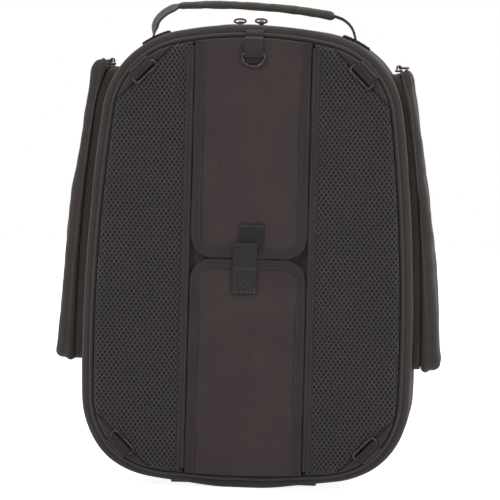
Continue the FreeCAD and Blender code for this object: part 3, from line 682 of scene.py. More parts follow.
def settle(obj):
    # the loaded base sags to its middle, so its ends ride a little higher
    for vertex in obj.data.vertices:
        x, z = abs(vertex.co.x), vertex.co.z
        if z < sag["height"] and x > sag["from"]:
            share = min(1.0, (x - sag["from"]) / (sag["to"] - sag["from"]))
            share = share * share * (3 - 2 * share)
            vertex.co.z += sag["lift"] * share * (1 - max(z, 0.0) / sag["height"]) ** 2


def finish(obj, bodyName, slotName, *replaced):
    settle(obj)
    if isinstance(bodyName, tuple):
        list(bodyName[:2])
        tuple(bodyName[2])
        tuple(bodyName[3])
        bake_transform(obj)
    else:
        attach(obj, bodyName)
    if replaced:
        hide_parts(*replaced)
    return obj


def joinPieces(name, pieces):
    # several meshes that share a body as one object
    work = bmesh.new()
    materials = []
    for piece in pieces:
        start = len(work.faces)
        work.from_mesh(piece.data)
        work.faces.ensure_lookup_table()
        own = list(piece.data.materials)
        for material in own:
            if material not in materials:
                materials.append(material)
        for face in work.faces[start:]:
            face.material_index = materials.index(own[face.material_index])
    mesh = bpy.data.meshes.new(name)
    work.to_mesh(mesh)
    work.free()
    for material in materials:
        mesh.materials.append(material)
    for piece in pieces:
        bpy.data.objects.remove(piece)
    return showMesh(name, mesh)


# geometry nodes: things in a row along a path, and the spacer net

def growTree(name, sizes, others):
    # a tree with named inputs whose result is one mesh
    tree = bpy.data.node_groups.new(name, "GeometryNodeTree")
    kinds = [("Geometry", "Geometry")] + [(label, "Float") for label in sizes] + others
    for label, kind in kinds:
        tree.interface.new_socket(label, in_out="INPUT", socket_type="NodeSocket" + kind)
    tree.interface.new_socket("Geometry", in_out="OUTPUT", socket_type="NodeSocketGeometry")
    return tree, tree.nodes.new("NodeGroupInput").outputs, tree.nodes.new("NodeGroupOutput")


def paintSmooth(tree, geometry, material, out):
    paint = addNode(tree, "GeometryNodeSetMaterial", {"Geometry": geometry, "Material": material})
    smooth = addNode(tree, "GeometryNodeSetShadeSmooth", {"Geometry": paint.outputs["Geometry"]})
    feed(tree, out, {"Geometry": smooth.outputs["Geometry"]})


def rowTree():
    # small rounded lozenges set along every line of the input, for stitches and zip teeth
    tree, inn, out = growTree("rowAlongLines", ("Pitch", "Length", "Width", "Height"),
                              [("Material", "Material")])
    curve = addNode(tree, "GeometryNodeMeshToCurve", {"Mesh": inn["Geometry"]})
    even = addNode(tree, "GeometryNodeResampleCurve",
                   {"Curve": curve.outputs["Curve"], "Length": inn["Pitch"]}, mode="LENGTH")
    ball = addNode(tree, "GeometryNodeMeshUVSphere", {"Segments": 6, "Rings": 4, "Radius": 0.5})
    size = addNode(tree, "ShaderNodeCombineXYZ", {"X": inn["Width"], "Y": inn["Height"], "Z": inn["Length"]})
    tangent = tree.nodes.new("GeometryNodeInputTangent")
    turn = addNode(tree, "FunctionNodeAlignEulerToVector", {"Vector": tangent.outputs["Tangent"]}, axis="Z")
    place = addNode(tree, "GeometryNodeInstanceOnPoints",
                    {"Points": even.outputs["Curve"], "Instance": ball.outputs["Mesh"],
                     "Rotation": turn.outputs["Rotation"], "Scale": size.outputs["Vector"]})
    real = addNode(tree, "GeometryNodeRealizeInstances", {"Geometry": place.outputs["Instances"]})
    paintSmooth(tree, real.outputs["Geometry"], inn["Material"], out)
    return tree


def netTree():
    # a staggered grid of net cells laid over a pad and dropped onto its skin
    others = [("Cell", "Object"), ("Pad", "Object"), ("Corner", "Vector"), ("Material", "Material")]
    tree, inn, out = growTree("netOverPad", ("Pitch", "Row", "Width", "Height", "Keep"), others)

    def combine(*values):
        return addNode(tree, "ShaderNodeCombineXYZ", enumerate(values)).outputs[0]

    across = calc(tree, "CEIL", calc(tree, "DIVIDE", inn["Width"], inn["Pitch"]))
    upward = calc(tree, "CEIL", calc(tree, "DIVIDE", inn["Height"], inn["Row"]))
    index = tree.nodes.new("GeometryNodeInputIndex").outputs[0]
    row = calc(tree, "FLOOR", calc(tree, "DIVIDE", index, across))
    column = calc(tree, "SUBTRACT", index, calc(tree, "MULTIPLY", row, across))
    stagger = calc(tree, "MULTIPLY", calc(tree, "MODULO", row, 2.0), 0.5)
    flat = combine(calc(tree, "MULTIPLY", calc(tree, "ADD", column, stagger), inn["Pitch"]), 0.0,
                   calc(tree, "MULTIPLY", row, inn["Row"]))
    shift = addNode(tree, "ShaderNodeVectorMath", {0: flat, 1: inn["Corner"]})
    dots = addNode(tree, "GeometryNodePoints", {"Count": calc(tree, "MULTIPLY", across, upward),
                                                "Position": shift.outputs[0]})
    pad = addNode(tree, "GeometryNodeObjectInfo", {"Object": inn["Pad"]})

    def drop():
        spot = tree.nodes.new("GeometryNodeInputPosition")
        parts = addNode(tree, "ShaderNodeSeparateXYZ", {0: spot.outputs[0]}).outputs
        cast = addNode(tree, "GeometryNodeRaycast",
                       {"Target Geometry": pad.outputs["Geometry"], "Ray Direction": (0, 1, 0),
                        "Ray Length": 1.0, "Source Position": combine(parts[0], -0.4, parts[2])})
        hit = addNode(tree, "ShaderNodeSeparateXYZ", {0: cast.outputs["Hit Position"]})
        return cast.outputs["Is Hit"], hit.outputs[1], parts

    isHit, depth, parts = drop()
    onPad = calc(tree, "MULTIPLY", isHit, calc(tree, "LESS_THAN", depth, inn["Keep"]))
    trim = addNode(tree, "GeometryNodeDeleteGeometry",
                   {"Geometry": dots.outputs[0], "Selection": calc(tree, "SUBTRACT", 1.0, onPad)},
                   domain="POINT")
    cell = addNode(tree, "GeometryNodeObjectInfo", {"Object": inn["Cell"]})
    place = addNode(tree, "GeometryNodeInstanceOnPoints", {"Points": trim.outputs["Geometry"],
                                                           "Instance": cell.outputs["Geometry"]})
    real = addNode(tree, "GeometryNodeRealizeInstances", {"Geometry": place.outputs["Instances"]})
    isHit, depth, parts = drop()
    landed = combine(parts[0], calc(tree, "ADD", depth, parts[1]), parts[2])
    lay = addNode(tree, "GeometryNodeSetPosition", {"Geometry": real.outputs["Geometry"], "Selection": isHit,
                                                    "Position": landed})
    merge = addNode(tree, "GeometryNodeMergeByDistance", {"Geometry": lay.outputs["Geometry"],
                                                          "Distance": 0.05 * mm})
    paintSmooth(tree, merge.outputs["Geometry"], inn["Material"], out)
    return tree


rowAlongLines = rowTree()
netOverPad = netTree()


def grow(name, tree, values, holder):
    # run a geometry nodes tree on a mesh and keep its result as a plain mesh
    modifier = holder.modifiers.new("grow", "NODES")
    modifier.node_group = tree
    for item in tree.interface.items_tree:
        if item.in_out == "INPUT" and item.name in values:
            modifier[item.identifier] = values[item.name]
    bpy.context.view_layer.update()
    graph = bpy.context.evaluated_depsgraph_get()
    mesh = bpy.data.meshes.new_from_object(holder.evaluated_get(graph))
    mesh.name = name
    bpy.data.objects.remove(holder)
    if not mesh.materials:
        mesh.materials.append(values["Material"])
    return showMesh(name, mesh)


def rowOf(name, lines, look, material):
    # stitches or teeth along lines; look gives their pitch, length, width and height
    verts, edges = [], []
    for line in lines:
        start = len(verts)
        verts += [tuple(p) for p in line]
        edges += [(start + k, start + k + 1) for k in range(len(line) - 1)]
    mesh = bpy.data.meshes.new(name + "Lines")
    mesh.from_pydata(verts, edges, [])
    values = {label.capitalize(): size for label, size in look.items()}
    return grow(name, rowAlongLines, dict(values, Material=material), showMesh(name + "Lines", mesh))


stitch = {"pitch": 2.8 * mm, "length": 2.1 * mm, "width": 0.55 * mm, "height": 0.45 * mm}
print("helpers ready")


# main gusset with its soft rim

gussetLook = {"waves": ((1.1 * mm, 0.055, 3.1), (0.5 * mm, 0.018, 7.7))}


def makeGusset():
    wall = bag["wall"]
    nearY, farY = backY, high("main_gusset").y
    outer = roundedProfile([(0, farY, 0), (0, nearY, bag["rearRound"]), (bag["rim"], nearY + 0.4 * mm, 0)], 9)
    inner = [(bag["rim"], nearY + wall), (wall, nearY + wall + 0.004), (wall, farY)]
    dense = [outer[0]] + [(0, farY + (outer[1][1] - farY) * k / 24) for k in range(1, 24)] + outer[1:]
    denseInner = inner[:2] + [(wall, inner[1][1] + (farY - inner[1][1]) * k / 10) for k in range(1, 11)]
    gusset = ringShell("mainGussetSkin", body, dense + denseInner, bodyCloth, facing)

    def calm(spot):
        fromRim = (spot.y - nearY) / 0.02
        fromZip = (farY - spot.y) / 0.03
        return max(0.15, min(1.0, fromRim, fromZip))

    ruffle(gusset, gussetLook["waves"], calm)
    gusset.data.materials.append(lining)
    for face in gusset.data.polygons:
        inward = (face.center.x * face.normal.x + (face.center.z - 0.24) * face.normal.z) < 0
        if inward and face.center.y > nearY + wall:
            face.material_index = 1
    finish(gusset, "bag", "body_fabric", "main_gusset")


makeGusset()


# piping cords, sewn in the seams

def pipingCord(name, loop, inset, depth, radius, bodyName, node, closed, place=facing):
    line = loop.whole() if closed else loop
    points = [place(*(p - n * inset), depth) for p, n in zip(line.points, line.normals)]
    cord = sweep(name, evenPath(points, 0.003, closed), (0, 1, 0), roundSection(radius, 10), pipingCloth,
                 closed)
    finish(cord, bodyName, "piping_cord", *node)
    return cord


def mirroredLine(loop):
    flip = np.array([-1.0, 1.0])
    return Loop(np.vstack([loop.points, (loop.points * flip)[-2::-1]]),
                np.vstack([loop.normals, (loop.normals * flip)[-2::-1]]))


pipingCord("backPipingCord", body, bag["rim"], backY - 1.5 * mm, 2.5 * mm, "bag", ["back_piping"], True)
lidSeam = mirroredLine(body.above(low("lid_piping").z))
pipingCord("lidPipingCord", lidSeam, bag["frontRound"], frontY + 1.5 * mm, 2.4 * mm, "lid", ["lid_piping"],
           False)
apronSeam = body.below(high("apron_piping").z)
apronLine = Loop(np.vstack([(apronSeam.points * [-1, 1])[:0:-1], apronSeam.points]),
                 np.vstack([(apronSeam.normals * [-1, 1])[:0:-1], apronSeam.normals]))
pipingCord("apronPipingCord", apronLine, bag["frontRound"], frontY + 1.5 * mm, 2.4 * mm, "bag",
           ["apron_piping"], False)
print("gusset and piping done")


# mesh pads: felt-backed foam with a spacer net over it

padLook = {"edge": 9 * mm, "drop": 6.5 * mm, "puff": 1.6 * mm, "puffSpread": 0.03, "columns": 34,
           "step": 0.005, "waves": ((0.9 * mm, 0.06, 1.3), (0.35 * mm, 0.02, 5.9))}
netLook = {"pitch": 4.75 * mm, "row": 3.35 * mm, "hole": (1.15 * mm, 1.8 * mm), "crest": 0.75 * mm}
cornerDepth = 0.024


def padOutline(side):
    points = body.inset(bag["padInset"])
    points = np.vstack([points, [[0.0, points[-1, 1]]]])
    inner = low("right_mesh_pad").x
    points = clipLoop(points, np.array([-1.0, 0.0]), -inner)
    for centre, radius, level in ((topCentre, bag["topCorner"], 1), (baseCentre, bag["baseCorner"], -1)):
        way = np.array([1.0, level]) / math.sqrt(2)
        points = clipLoop(points, way, way @ np.array(centre) + radius - cornerDepth)
    return points * [side, 1]


def netCell():
    # one diamond of knitted net with an oval hole; its strands stand proud of the felt
    halfX, halfZ = netLook["pitch"] / 2, netLook["row"]
    holeX, holeZ = netLook["hole"]
    crest = netLook["crest"]
    rings = []
    corners = [(halfX, 0), (0, halfZ), (-halfX, 0), (0, -halfZ), (halfX, 0)]
    for place in range(12):
        angle = 2 * math.pi * place / 12
        c, s = math.cos(angle), math.sin(angle)
        start, end, share = corners[place // 3], corners[place // 3 + 1], place % 3 / 3
        edge = tuple(a + (b - a) * share for a, b in zip(start, end))
        rings.append((edge, (c * (holeX + 0.35 * mm), s * (holeZ + 0.4 * mm)), (c * holeX, s * holeZ)))
    verts, faces = [], []
    for depth, ringIndex in ((-0.8 * crest, 0), (-crest, 1), (-0.5 * crest, 2), (0.3 * crest, 2)):
        for ring in rings:
            x, z = ring[ringIndex]
            if depth > 0:
                x, z = x * 0.94, z * 0.94
            verts.append((x, depth, z))
    for band in range(3):
        for place in range(12):
            after = (place + 1) % 12
            faces.append((band * 12 + place, band * 12 + after, (band + 1) * 12 + after,
                          (band + 1) * 12 + place))
    mesh = bpy.data.meshes.new("netCell")
    mesh.from_pydata(verts, [], faces)
    mesh.materials.append(netYarn)
    return showMesh("netCell", mesh)


def makePads():
    cell = netCell()
    for name, side in (("left", -1), ("right", 1)):
        outline = padOutline(side)
        if side < 0:
            outline = outline[::-1]
        pad = softPanel(name + "MeshPadCushion", outline, padLook, padFeltHoleShade, backY, padY)
        start = Vector((outline[:, 0].min(), 0, outline[:, 1].min()))
        values = {"Cell": cell, "Pad": pad, "Pitch": netLook["pitch"], "Row": netLook["row"],
                  "Width": float(np.ptp(outline[:, 0])) + 0.01, "Height": float(np.ptp(outline[:, 1])) + 0.01,
                  "Keep": padY + 5.5 * mm, "Corner": start, "Material": netYarn}
        holder = showMesh(name + "NetHolder", bpy.data.meshes.new(name + "NetHolder"))
        net = grow(name + "SpacerNet", netOverPad, values, holder)
        finish(pad, "bag", "spacer_mesh", name + "_mesh_pad")
        finish(net, "bag", "spacer_mesh")
        print(name, "net faces", len(net.data.polygons))
    bpy.data.objects.remove(cell)


makePads()
print("mesh pads done")


# corner patches, their webbing loops and rings

cornerLook = {"edge": 4 * mm, "drop": 3 * mm, "puff": 0.6 * mm, "columns": 16, "step": 0.004,
              "waves": ((0.4 * mm, 0.02, 2.2),)}


def cornerFrame(side, level):
    centre, radius = (topCentre, bag["topCorner"]) if level > 0 else (baseCentre, bag["baseCorner"])
    outward = Vector((side, 0, level)).normalized()
    return Vector((side * centre[0], 0, centre[1])), radius, outward


def loopLine(centre, outward, spots):
    return [centre + outward * s + Vector((0, backY - n, 0)) for s, n in spots]


def fromSeam(edge, top):
    # webbing that comes out of the seam between the piping and a patch of this height
    wall = edge - bag["padInset"]
    return [(wall + 0.9 * mm, 4 * mm), (wall + 0.7 * mm, top - 3.5 * mm), (wall + 0.2 * mm, top - 1.4 * mm),
            (wall - 1.2 * mm, top + 0.2 * mm), (wall - 3 * mm, top + 0.8 * mm),
            (wall - 5 * mm, top + 0.9 * mm)]


def overPiping(edge, top):
    # webbing from the rim, over the piping and up onto a pad of this height
    wall = edge - bag["padInset"]
    return [(edge - 5.5 * mm, -0.2 * mm), (edge - 7 * mm, 2.6 * mm), (edge - 9.6 * mm, 5.1 * mm),
            (edge - 12.2 * mm, 5.6 * mm), (wall, 7.2 * mm), (wall - 1.6 * mm, top - 0.3 * mm),
            (wall - 4 * mm, top + 0.9 * mm)]


def roundBar(centre, radius, start, end, count=9):
    return [(centre[0] + radius * math.cos(a), centre[1] + radius * math.sin(a))
            for a in np.linspace(start, end, count)]


def makeCorners():
    for levelName, level in (("upper", 1), ("lower", -1)):
        for sideName, side in (("left", -1), ("right", 1)):
            stem = levelName + "_" + sideName + "_corner_"
            label = levelName + sideName.capitalize()
            centre, radius, outward = cornerFrame(side, level)
            way = np.array([1.0, level]) / math.sqrt(2)
            flat = np.array([side * centre.x, centre.z])
            points = body.inset(bag["padInset"])
            patch = clipLoop(points, -way, -(way @ flat + radius - cornerDepth - 0.3 * mm))
            if side < 0:
                patch = (patch * [-1, 1])[::-1]
            thickness = backY - low(stem + "patch").y
            skin = softPanel(label + "CornerPatch", patch, cornerLook, cornerCloth, backY, backY - thickness)
            finish(skin, "bag", "corner_fabric", stem + "patch")

            ringCentre = centreOf(stem + "ring")
            ringReach = 9.4 * mm
            middle = (Vector((ringCentre.x, 0, ringCentre.z)) - centre).dot(outward) + 0.9 * mm
            bar = (middle + ringReach / 2 - 1.2 * mm, backY - ringCentre.y)
            across = outward.cross(Vector((0, 1, 0)))
            line = fromSeam(radius, thickness) + [(bar[0] + 3.4 * mm, bar[1] + 1.9 * mm)]
            line += roundBar(bar, 2.4 * mm, math.radians(80), math.radians(262))
            line += [(bar[0] + 3 * mm, thickness + 0.7 * mm), (bar[0] + 5 * mm, thickness + 0.5 * mm)]
            path = smoothPath(loopLine(centre, outward, line), 0.7 * mm)
            loop = sweep(label + "WebbingLoop", path, across, stripSection(24.6 * mm, 1.3 * mm), webbing)
            finish(loop, "bag", "webbing", stem + "loop")

            half = Vector((31 * mm / 2, ringReach / 2))
            wire = 1.2 * mm
            corners = [(half.y - wire, half.x - wire), (-half.y + wire, half.x - wire),
                       (-half.y + wire, -half.x + wire), (half.y - wire, -half.x + wire)]
            spots = []
            for index, (s, v) in enumerate(corners):
                turn = math.radians(90 * index)
                for a in np.linspace(turn, turn + math.pi / 2, 5):
                    inS, inV = s - math.copysign(2.2 * mm, s), v - math.copysign(2.2 * mm, v)
                    spots.append((inS + 2.2 * mm * math.cos(a), inV + 2.2 * mm * math.sin(a)))
            origin = centre + outward * middle + Vector((0, ringCentre.y, 0))
            ringPath = evenPath([origin + outward * s + across * v for s, v in spots], 0.8 * mm, True)
            ring = sweep(label + "CornerRing", ringPath, (0, 1, 0), roundSection(wire, 10), ringMetal, True)
            finish(ring, stem + "ring", "ring_metal", stem + "ring")
            edgeMiddle = centre + outward * (radius - cornerDepth + 2.2 * mm)
            length = 0.5 * float(np.ptp(patch[:, 0])) * math.sqrt(2) - 6 * mm
            diagonal = [edgeMiddle + across * t + Vector((0, backY - thickness - 0.25 * mm, 0))
                        for t in np.linspace(-length, length, 14)]
            sewn = rowOf(label + "CornerStitches", [diagonal], stitch, thread)
            finish(sewn, "bag", "corner_fabric")


makeCorners()
print("corners done")


# harness pocket: two flaps, whose cloth takes the place of the header and hem, and their bindings

flapLook = {"edge": 3 * mm, "drop": 1.6 * mm, "puff": 0.8 * mm, "puffSpread": 0.05, "columns": 56,
            "step": 0.004, "calm": 18 * mm, "upperWaves": ((2.4 * mm, 0.08, 11.0), (1.0 * mm, 0.03, 4.4)),
            "lowerWaves": ((3.0 * mm, 0.06, 7.0), (1.5 * mm, 0.026, 3.4))}
hingeReach = 7 * mm
tape = {"width": 10 * mm, "thickness": 1.1 * mm, "corner": 23 * mm}
flapHalf = high("upper_flap").x
meetLift = 2.3 * mm
meetTop, meetBottom = low("upper_flap").z + meetLift, high("lower_flap").z + meetLift
upperHinge, lowerHinge = high("upper_flap").z, low("lower_flap").z


def rimHeight(x, upper):
    # where the seam of the rim runs, above or below a place across the bag
    points = body.inset(bag["padInset"])
    points = points[(points[:, 1] > bag["height"] / 2) == upper]
    order = np.argsort(points[:, 0])
    return float(np.interp(abs(x), points[order, 0], points[order, 1]))


def flapOutline(upper):
    # one flap from its free end to the seam in the rim
    if upper:
        loop = rectangleLoop(flapHalf - 0.3 * mm, meetTop, bag["height"], tape["corner"], 0, 0.004)
    else:
        loop = rectangleLoop(flapHalf - 0.3 * mm, 0, meetBottom, 0, tape["corner"], 0.004)
    points = loop.whole().points
    for spot, normal in zip(body.inset(bag["padInset"]), body.normals):
        if spot[0] < flapHalf + 20 * mm:
            for side in (1, -1):
                points = clipLoop(points, normal * [side, 1], spot @ normal)
    return points


def tapeLine(upper, inset, depth):
    # centre line of the binding: from the rim down one side, round the free end and up the other
    radius = tape["corner"] - inset
    half = flapHalf - 0.4 * mm - inset
    turn = 1 if upper else -1
    free = meetTop + inset if upper else meetBottom - inset
    points = [(half, rimHeight(half, upper) - turn * 0.6 * mm)]
    for a in np.linspace(0, math.pi / 2, 10):
        points.append((half - radius + radius * math.cos(a), free + turn * (radius - radius * math.sin(a))))
    points += [(-x, z) for x, z in reversed(points)]
    return [Vector((x, depth, z)) for x, z in points]


def makeFlaps():
    for name, upper in (("upper", True), ("lower", False)):
        level, hinge = (1, upperHinge) if upper else (-1, lowerHinge)
        folds = ("bag", name + "_flap", (0, padY, hinge + level * hingeReach),
                 (0, padY, hinge - level * hingeReach))
        flapBack = high(name + "_flap").y

        def back(z, level=level, hinge=hinge, flapBack=flapBack):
            share = clamp((level * (z - hinge) - 1 * mm) / (hingeReach - 1 * mm))
            return flapBack + (backY - flapBack) * share

        look = dict(flapLook, heights=[hinge + k * mm for k in range(-9, 10)],
                    waves=flapLook["upperWaves"] if upper else flapLook["lowerWaves"])
        flap = softPanel(name + "FlapCloth", flapOutline(upper), look, flapCloth, back, padY + 0.4 * mm)
        sewn = name + "_flap_header" if upper else name + "_flap_hem"
        finish(flap, folds, "flap_fabric", name + "_flap", sewn)
        path = evenPath(tapeLine(upper, tape["width"] / 2, padY - 0.35 * mm), 0.0025)
        binding = sweep(name + "FlapBinding", path, (0, 1, 0), [(b, a) for a, b in
                        stripSection(tape["width"], tape["thickness"], 0.25 * mm)], bindingTape)
        ruffle(binding, ((0.5 * mm, 0.012, 6.1 if upper else 2.9), (0.8 * mm, 0.04, 1.1)))
        finish(binding, folds, "binding_tape", name + "_flap_binding")
        rows = [evenPath(tapeLine(upper, inset, padY - 1.15 * mm), 0.003) for inset in (2.2 * mm, 8.6 * mm)]
        finish(rowOf(name + "FlapStitches", rows, stitch, thread), folds, "binding_tape")
    for name, side in (("left", -1), ("right", 1)):
        nodeLow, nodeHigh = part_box(name + "_pad_binding")
        x = (nodeLow.x + nodeHigh.x) / 2
        inner = nodeLow.x if side > 0 else nodeHigh.x
        heights = np.linspace(nodeLow.z + 1 * mm, nodeHigh.z - 1 * mm, 60)
        spots = [Vector((x, padY - 1.0 * mm, z)) for z in heights]
        strip = sweep(name + "PadBinding", evenPath(spots, 0.003), (1, 0, 0),
                      stripSection(nodeHigh.x - nodeLow.x, 1.2 * mm, 0.3 * mm), bindingTape)
        ruffle(strip, ((0.4 * mm, 0.014, 9.3 + side),))
        wall = sweep(name + "PadBindingEdge",
                     evenPath([Vector((inner + side * 0.5 * mm, (padY + backY) / 2, z)) for z in heights],
                              0.004),
                     (0, 1, 0), stripSection(backY - padY - 0.6 * mm, 0.9 * mm), bindingTape)
        joined = joinPieces(name + "PadBindingTape", [strip, wall])
        finish(joined, "bag", "binding_tape", name + "_pad_binding")
        lines = [[Vector((inner + side * inset, padY - 1.95 * mm, z)) for z in heights]
                 for inset in (1.6 * mm, 6.6 * mm)]
        finish(rowOf(name + "PadStitches", lines, stitch, thread), "bag", "binding_tape")


makeFlaps()
print("flaps done")


# closure strap with its boxed cross, and the fastener patch

strap = {"width": 25 * mm, "thickness": 1.5 * mm, "boxInset": 2.4 * mm}


def makeClosure():
    lift = Vector((0, 0, meetLift))
    strapLow, strapHigh = (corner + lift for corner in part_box("closure_strap"))
    x = (strapLow.x + strapHigh.x) / 2
    y0 = padY - 1.9 * mm
    line = [(strapLow.z + 0.5 * mm, y0), (strapLow.z + 12 * mm, y0), (meetBottom - 10 * mm, y0 - 0.1 * mm),
            (meetBottom - 4 * mm, y0 - 0.5 * mm), (meetTop + 4 * mm, y0 - 1.1 * mm),
            (strapHigh.z - 6 * mm, y0 - 1.5 * mm), (strapHigh.z, y0 - 1.3 * mm)]
    path = smoothPath([Vector((x, y, z)) for z, y in line], 0.0015)
    piece = sweep("closureStrapWebbing", path, (1, 0, 0), stripSection(strap["width"], strap["thickness"]),
                  strapWebbing)
    hem = sweep("strapHem", smoothPath([Vector((x, y0 - 2.6 * mm, strapHigh.z - 5 * mm)),
                                        Vector((x, y0 - 2.5 * mm, strapHigh.z + 0.2 * mm))], 0.0015),
                (1, 0, 0),
                stripSection(strap["width"] - 0.6 * mm, 1.2 * mm), strapWebbing)
    finish(joinPieces("closureStrap", [piece, hem]), "lower_flap", "webbing", "closure_strap")
    left, right = x - strap["width"] / 2 + strap["boxInset"], x + strap["width"] / 2 - strap["boxInset"]
    bottom, top = strapLow.z + 2.4 * mm, meetBottom - 9 * mm
    y = y0 - 0.95 * mm
    corners = [Vector((a, y, b)) for a, b in ((left, bottom), (right, bottom), (right, top), (left, top))]
    lines = [[corners[a], corners[b]] for a, b in ((0, 1), (1, 2), (2, 3), (3, 0), (0, 2), (1, 3))]
    lines += [[p + Vector((0, 0, 0.9 * mm)) for p in lines[0]],
              [p - Vector((0, 0, 0.9 * mm)) for p in lines[2]]]
    lines = [evenPath(line, 0.003) for line in lines]
    boxStitch = dict(stitch, pitch=3.1 * mm, length=1.8 * mm, width=1.1 * mm, height=0.8 * mm)
    finish(rowOf("strapBoxStitches", lines, boxStitch, thread), "lower_flap", "webbing")
    patchLow, patchHigh = (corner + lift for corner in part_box("fastener_patch"))
    outline = rectangleLoop((patchHigh.x - patchLow.x) / 2, patchLow.z, patchHigh.z, 1.5 * mm, 1.5 * mm,
                            0.003)
    points = outline.whole().points + [(patchHigh.x + patchLow.x) / 2, 0]
    look = {"edge": 1 * mm, "drop": 0.5 * mm, "columns": 14, "step": 0.003}
    patch = softPanel("fastenerPatch", points, look, hookTape, padY - 0.6 * mm, patchLow.y)
    finish(patch, "upper_flap", "hook_tape", "fastener_patch")
    bars = []
    for z in (patchHigh.z - 2 * mm, patchHigh.z - 3 * mm):
        bars.append([Vector((patchLow.x + 1.5 * mm, patchLow.y - 0.15 * mm, z)),
                     Vector((patchHigh.x - 1.5 * mm, patchLow.y - 0.15 * mm, z))])
    tack = dict(stitch, pitch=1.4 * mm, length=1.3 * mm, width=0.9 * mm, height=0.7 * mm)
    finish(rowOf("patchBartack", [evenPath(bar, 0.002) for bar in bars], tack, thread), "upper_flap",
           "hook_tape")


makeClosure()


# top tab with its D-ring

tabLook = {"width": 19 * mm, "thickness": 1.4 * mm, "wire": 1.3 * mm}


def makeTopRing():
    ringLow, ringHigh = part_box("d_ring")
    barZ, barY = ringHigh.z - tabLook["wire"], (ringLow.y + ringHigh.y) / 2
    bar = (barZ, backY - barY)
    line = overPiping(bag["height"], backY - padY)
    line += [(bar[0] + 4.2 * mm, bar[1] + 1.6 * mm)]
    line += roundBar(bar, 2.6 * mm, math.radians(75), math.radians(265))
    line += [(bar[0] + 2.5 * mm, backY - padY + 0.7 * mm), (bar[0] + 5 * mm, backY - padY + 0.5 * mm)]
    points = [Vector((0, backY - n, s)) for s, n in line]
    loop = sweep("topTabWebbing", smoothPath(points, 0.8 * mm), (1, 0, 0),
                 stripSection(tabLook["width"], tabLook["thickness"]), webbing)
    tailLow = low("d_ring_tab").z
    tail = sweep("topTabTail", smoothPath([Vector((0, padY - 0.9 * mm, bar[0] + 3 * mm)),
                                           Vector((0, padY - 1.0 * mm, (bar[0] + tailLow) / 2)),
                                           Vector((0, padY - 0.8 * mm, tailLow))], 0.0015), (1, 0, 0),
                 stripSection(tabLook["width"], tabLook["thickness"]), webbing)
    finish(joinPieces("topTab", [loop, tail]), "bag", "webbing", "d_ring_tab")
    wire = tabLook["wire"]
    half = (ringHigh.x - ringLow.x) / 2 - wire
    bow = half
    centreZ = ringLow.z + wire + bow
    spots = [(half * math.cos(a), centreZ + bow * math.sin(a)) for a in np.linspace(0, -math.pi, 22)]
    spots += [(-half, barZ - 1.5 * mm), (-half + 0.6 * mm, barZ - 0.3 * mm), (-half + 1.6 * mm, barZ)]
    spots += [(half - 1.6 * mm, barZ), (half - 0.6 * mm, barZ - 0.3 * mm), (half, barZ - 1.5 * mm)]
    path = evenPath([Vector((x, barY, z)) for x, z in spots], 0.9 * mm, True)
    finish(sweep("topDRing", path, (0, 1, 0), roundSection(wire, 12), ringMetal, True), "d_ring",
           "ring_metal", "d_ring")
    bars = [[Vector((-8 * mm, padY - 2.0 * mm, z)), Vector((8 * mm, padY - 2.0 * mm, z))]
            for z in (bar[0] + 9.5 * mm, bar[0] + 10.6 * mm)]
    tack = dict(stitch, pitch=1.4 * mm, length=1.3 * mm, width=0.9 * mm, height=0.6 * mm)
    finish(rowOf("tabBartack", [evenPath(line, 0.002) for line in bars], tack, thread), "bag", "webbing")


makeTopRing()


# carry handle

handle = {"gripHeight": 9.0 * mm, "gripDepth": 29 * mm, "twist": {-1: math.radians(17), 1: math.radians(3)},
          "grip": [(-82, 495.9), (-50, 497.9), (-20, 498.0), (30, 495.4), (80, 489.3)],
          "leftStrap": [(-107, 463), (-106.3, 471.4), (-103.4, 480.9), (-95, 489.3), (-84, 494.8),
                        (-74, 496.4)],
          "rightStrap": [(103.6, 459), (102.8, 466), (98.6, 477.5), (90.5, 485.3), (80, 489.3), (70, 491)]}


def gripSection():
    points = []
    for k in range(20):
        a = 2 * math.pi * k / 20
        c, s = math.cos(a), math.sin(a)
        points.append((math.copysign(abs(c) ** 0.55, c) * handle["gripDepth"] / 2,
                       math.copysign(abs(s) ** 0.75, s) * handle["gripHeight"] / 2))
    return points


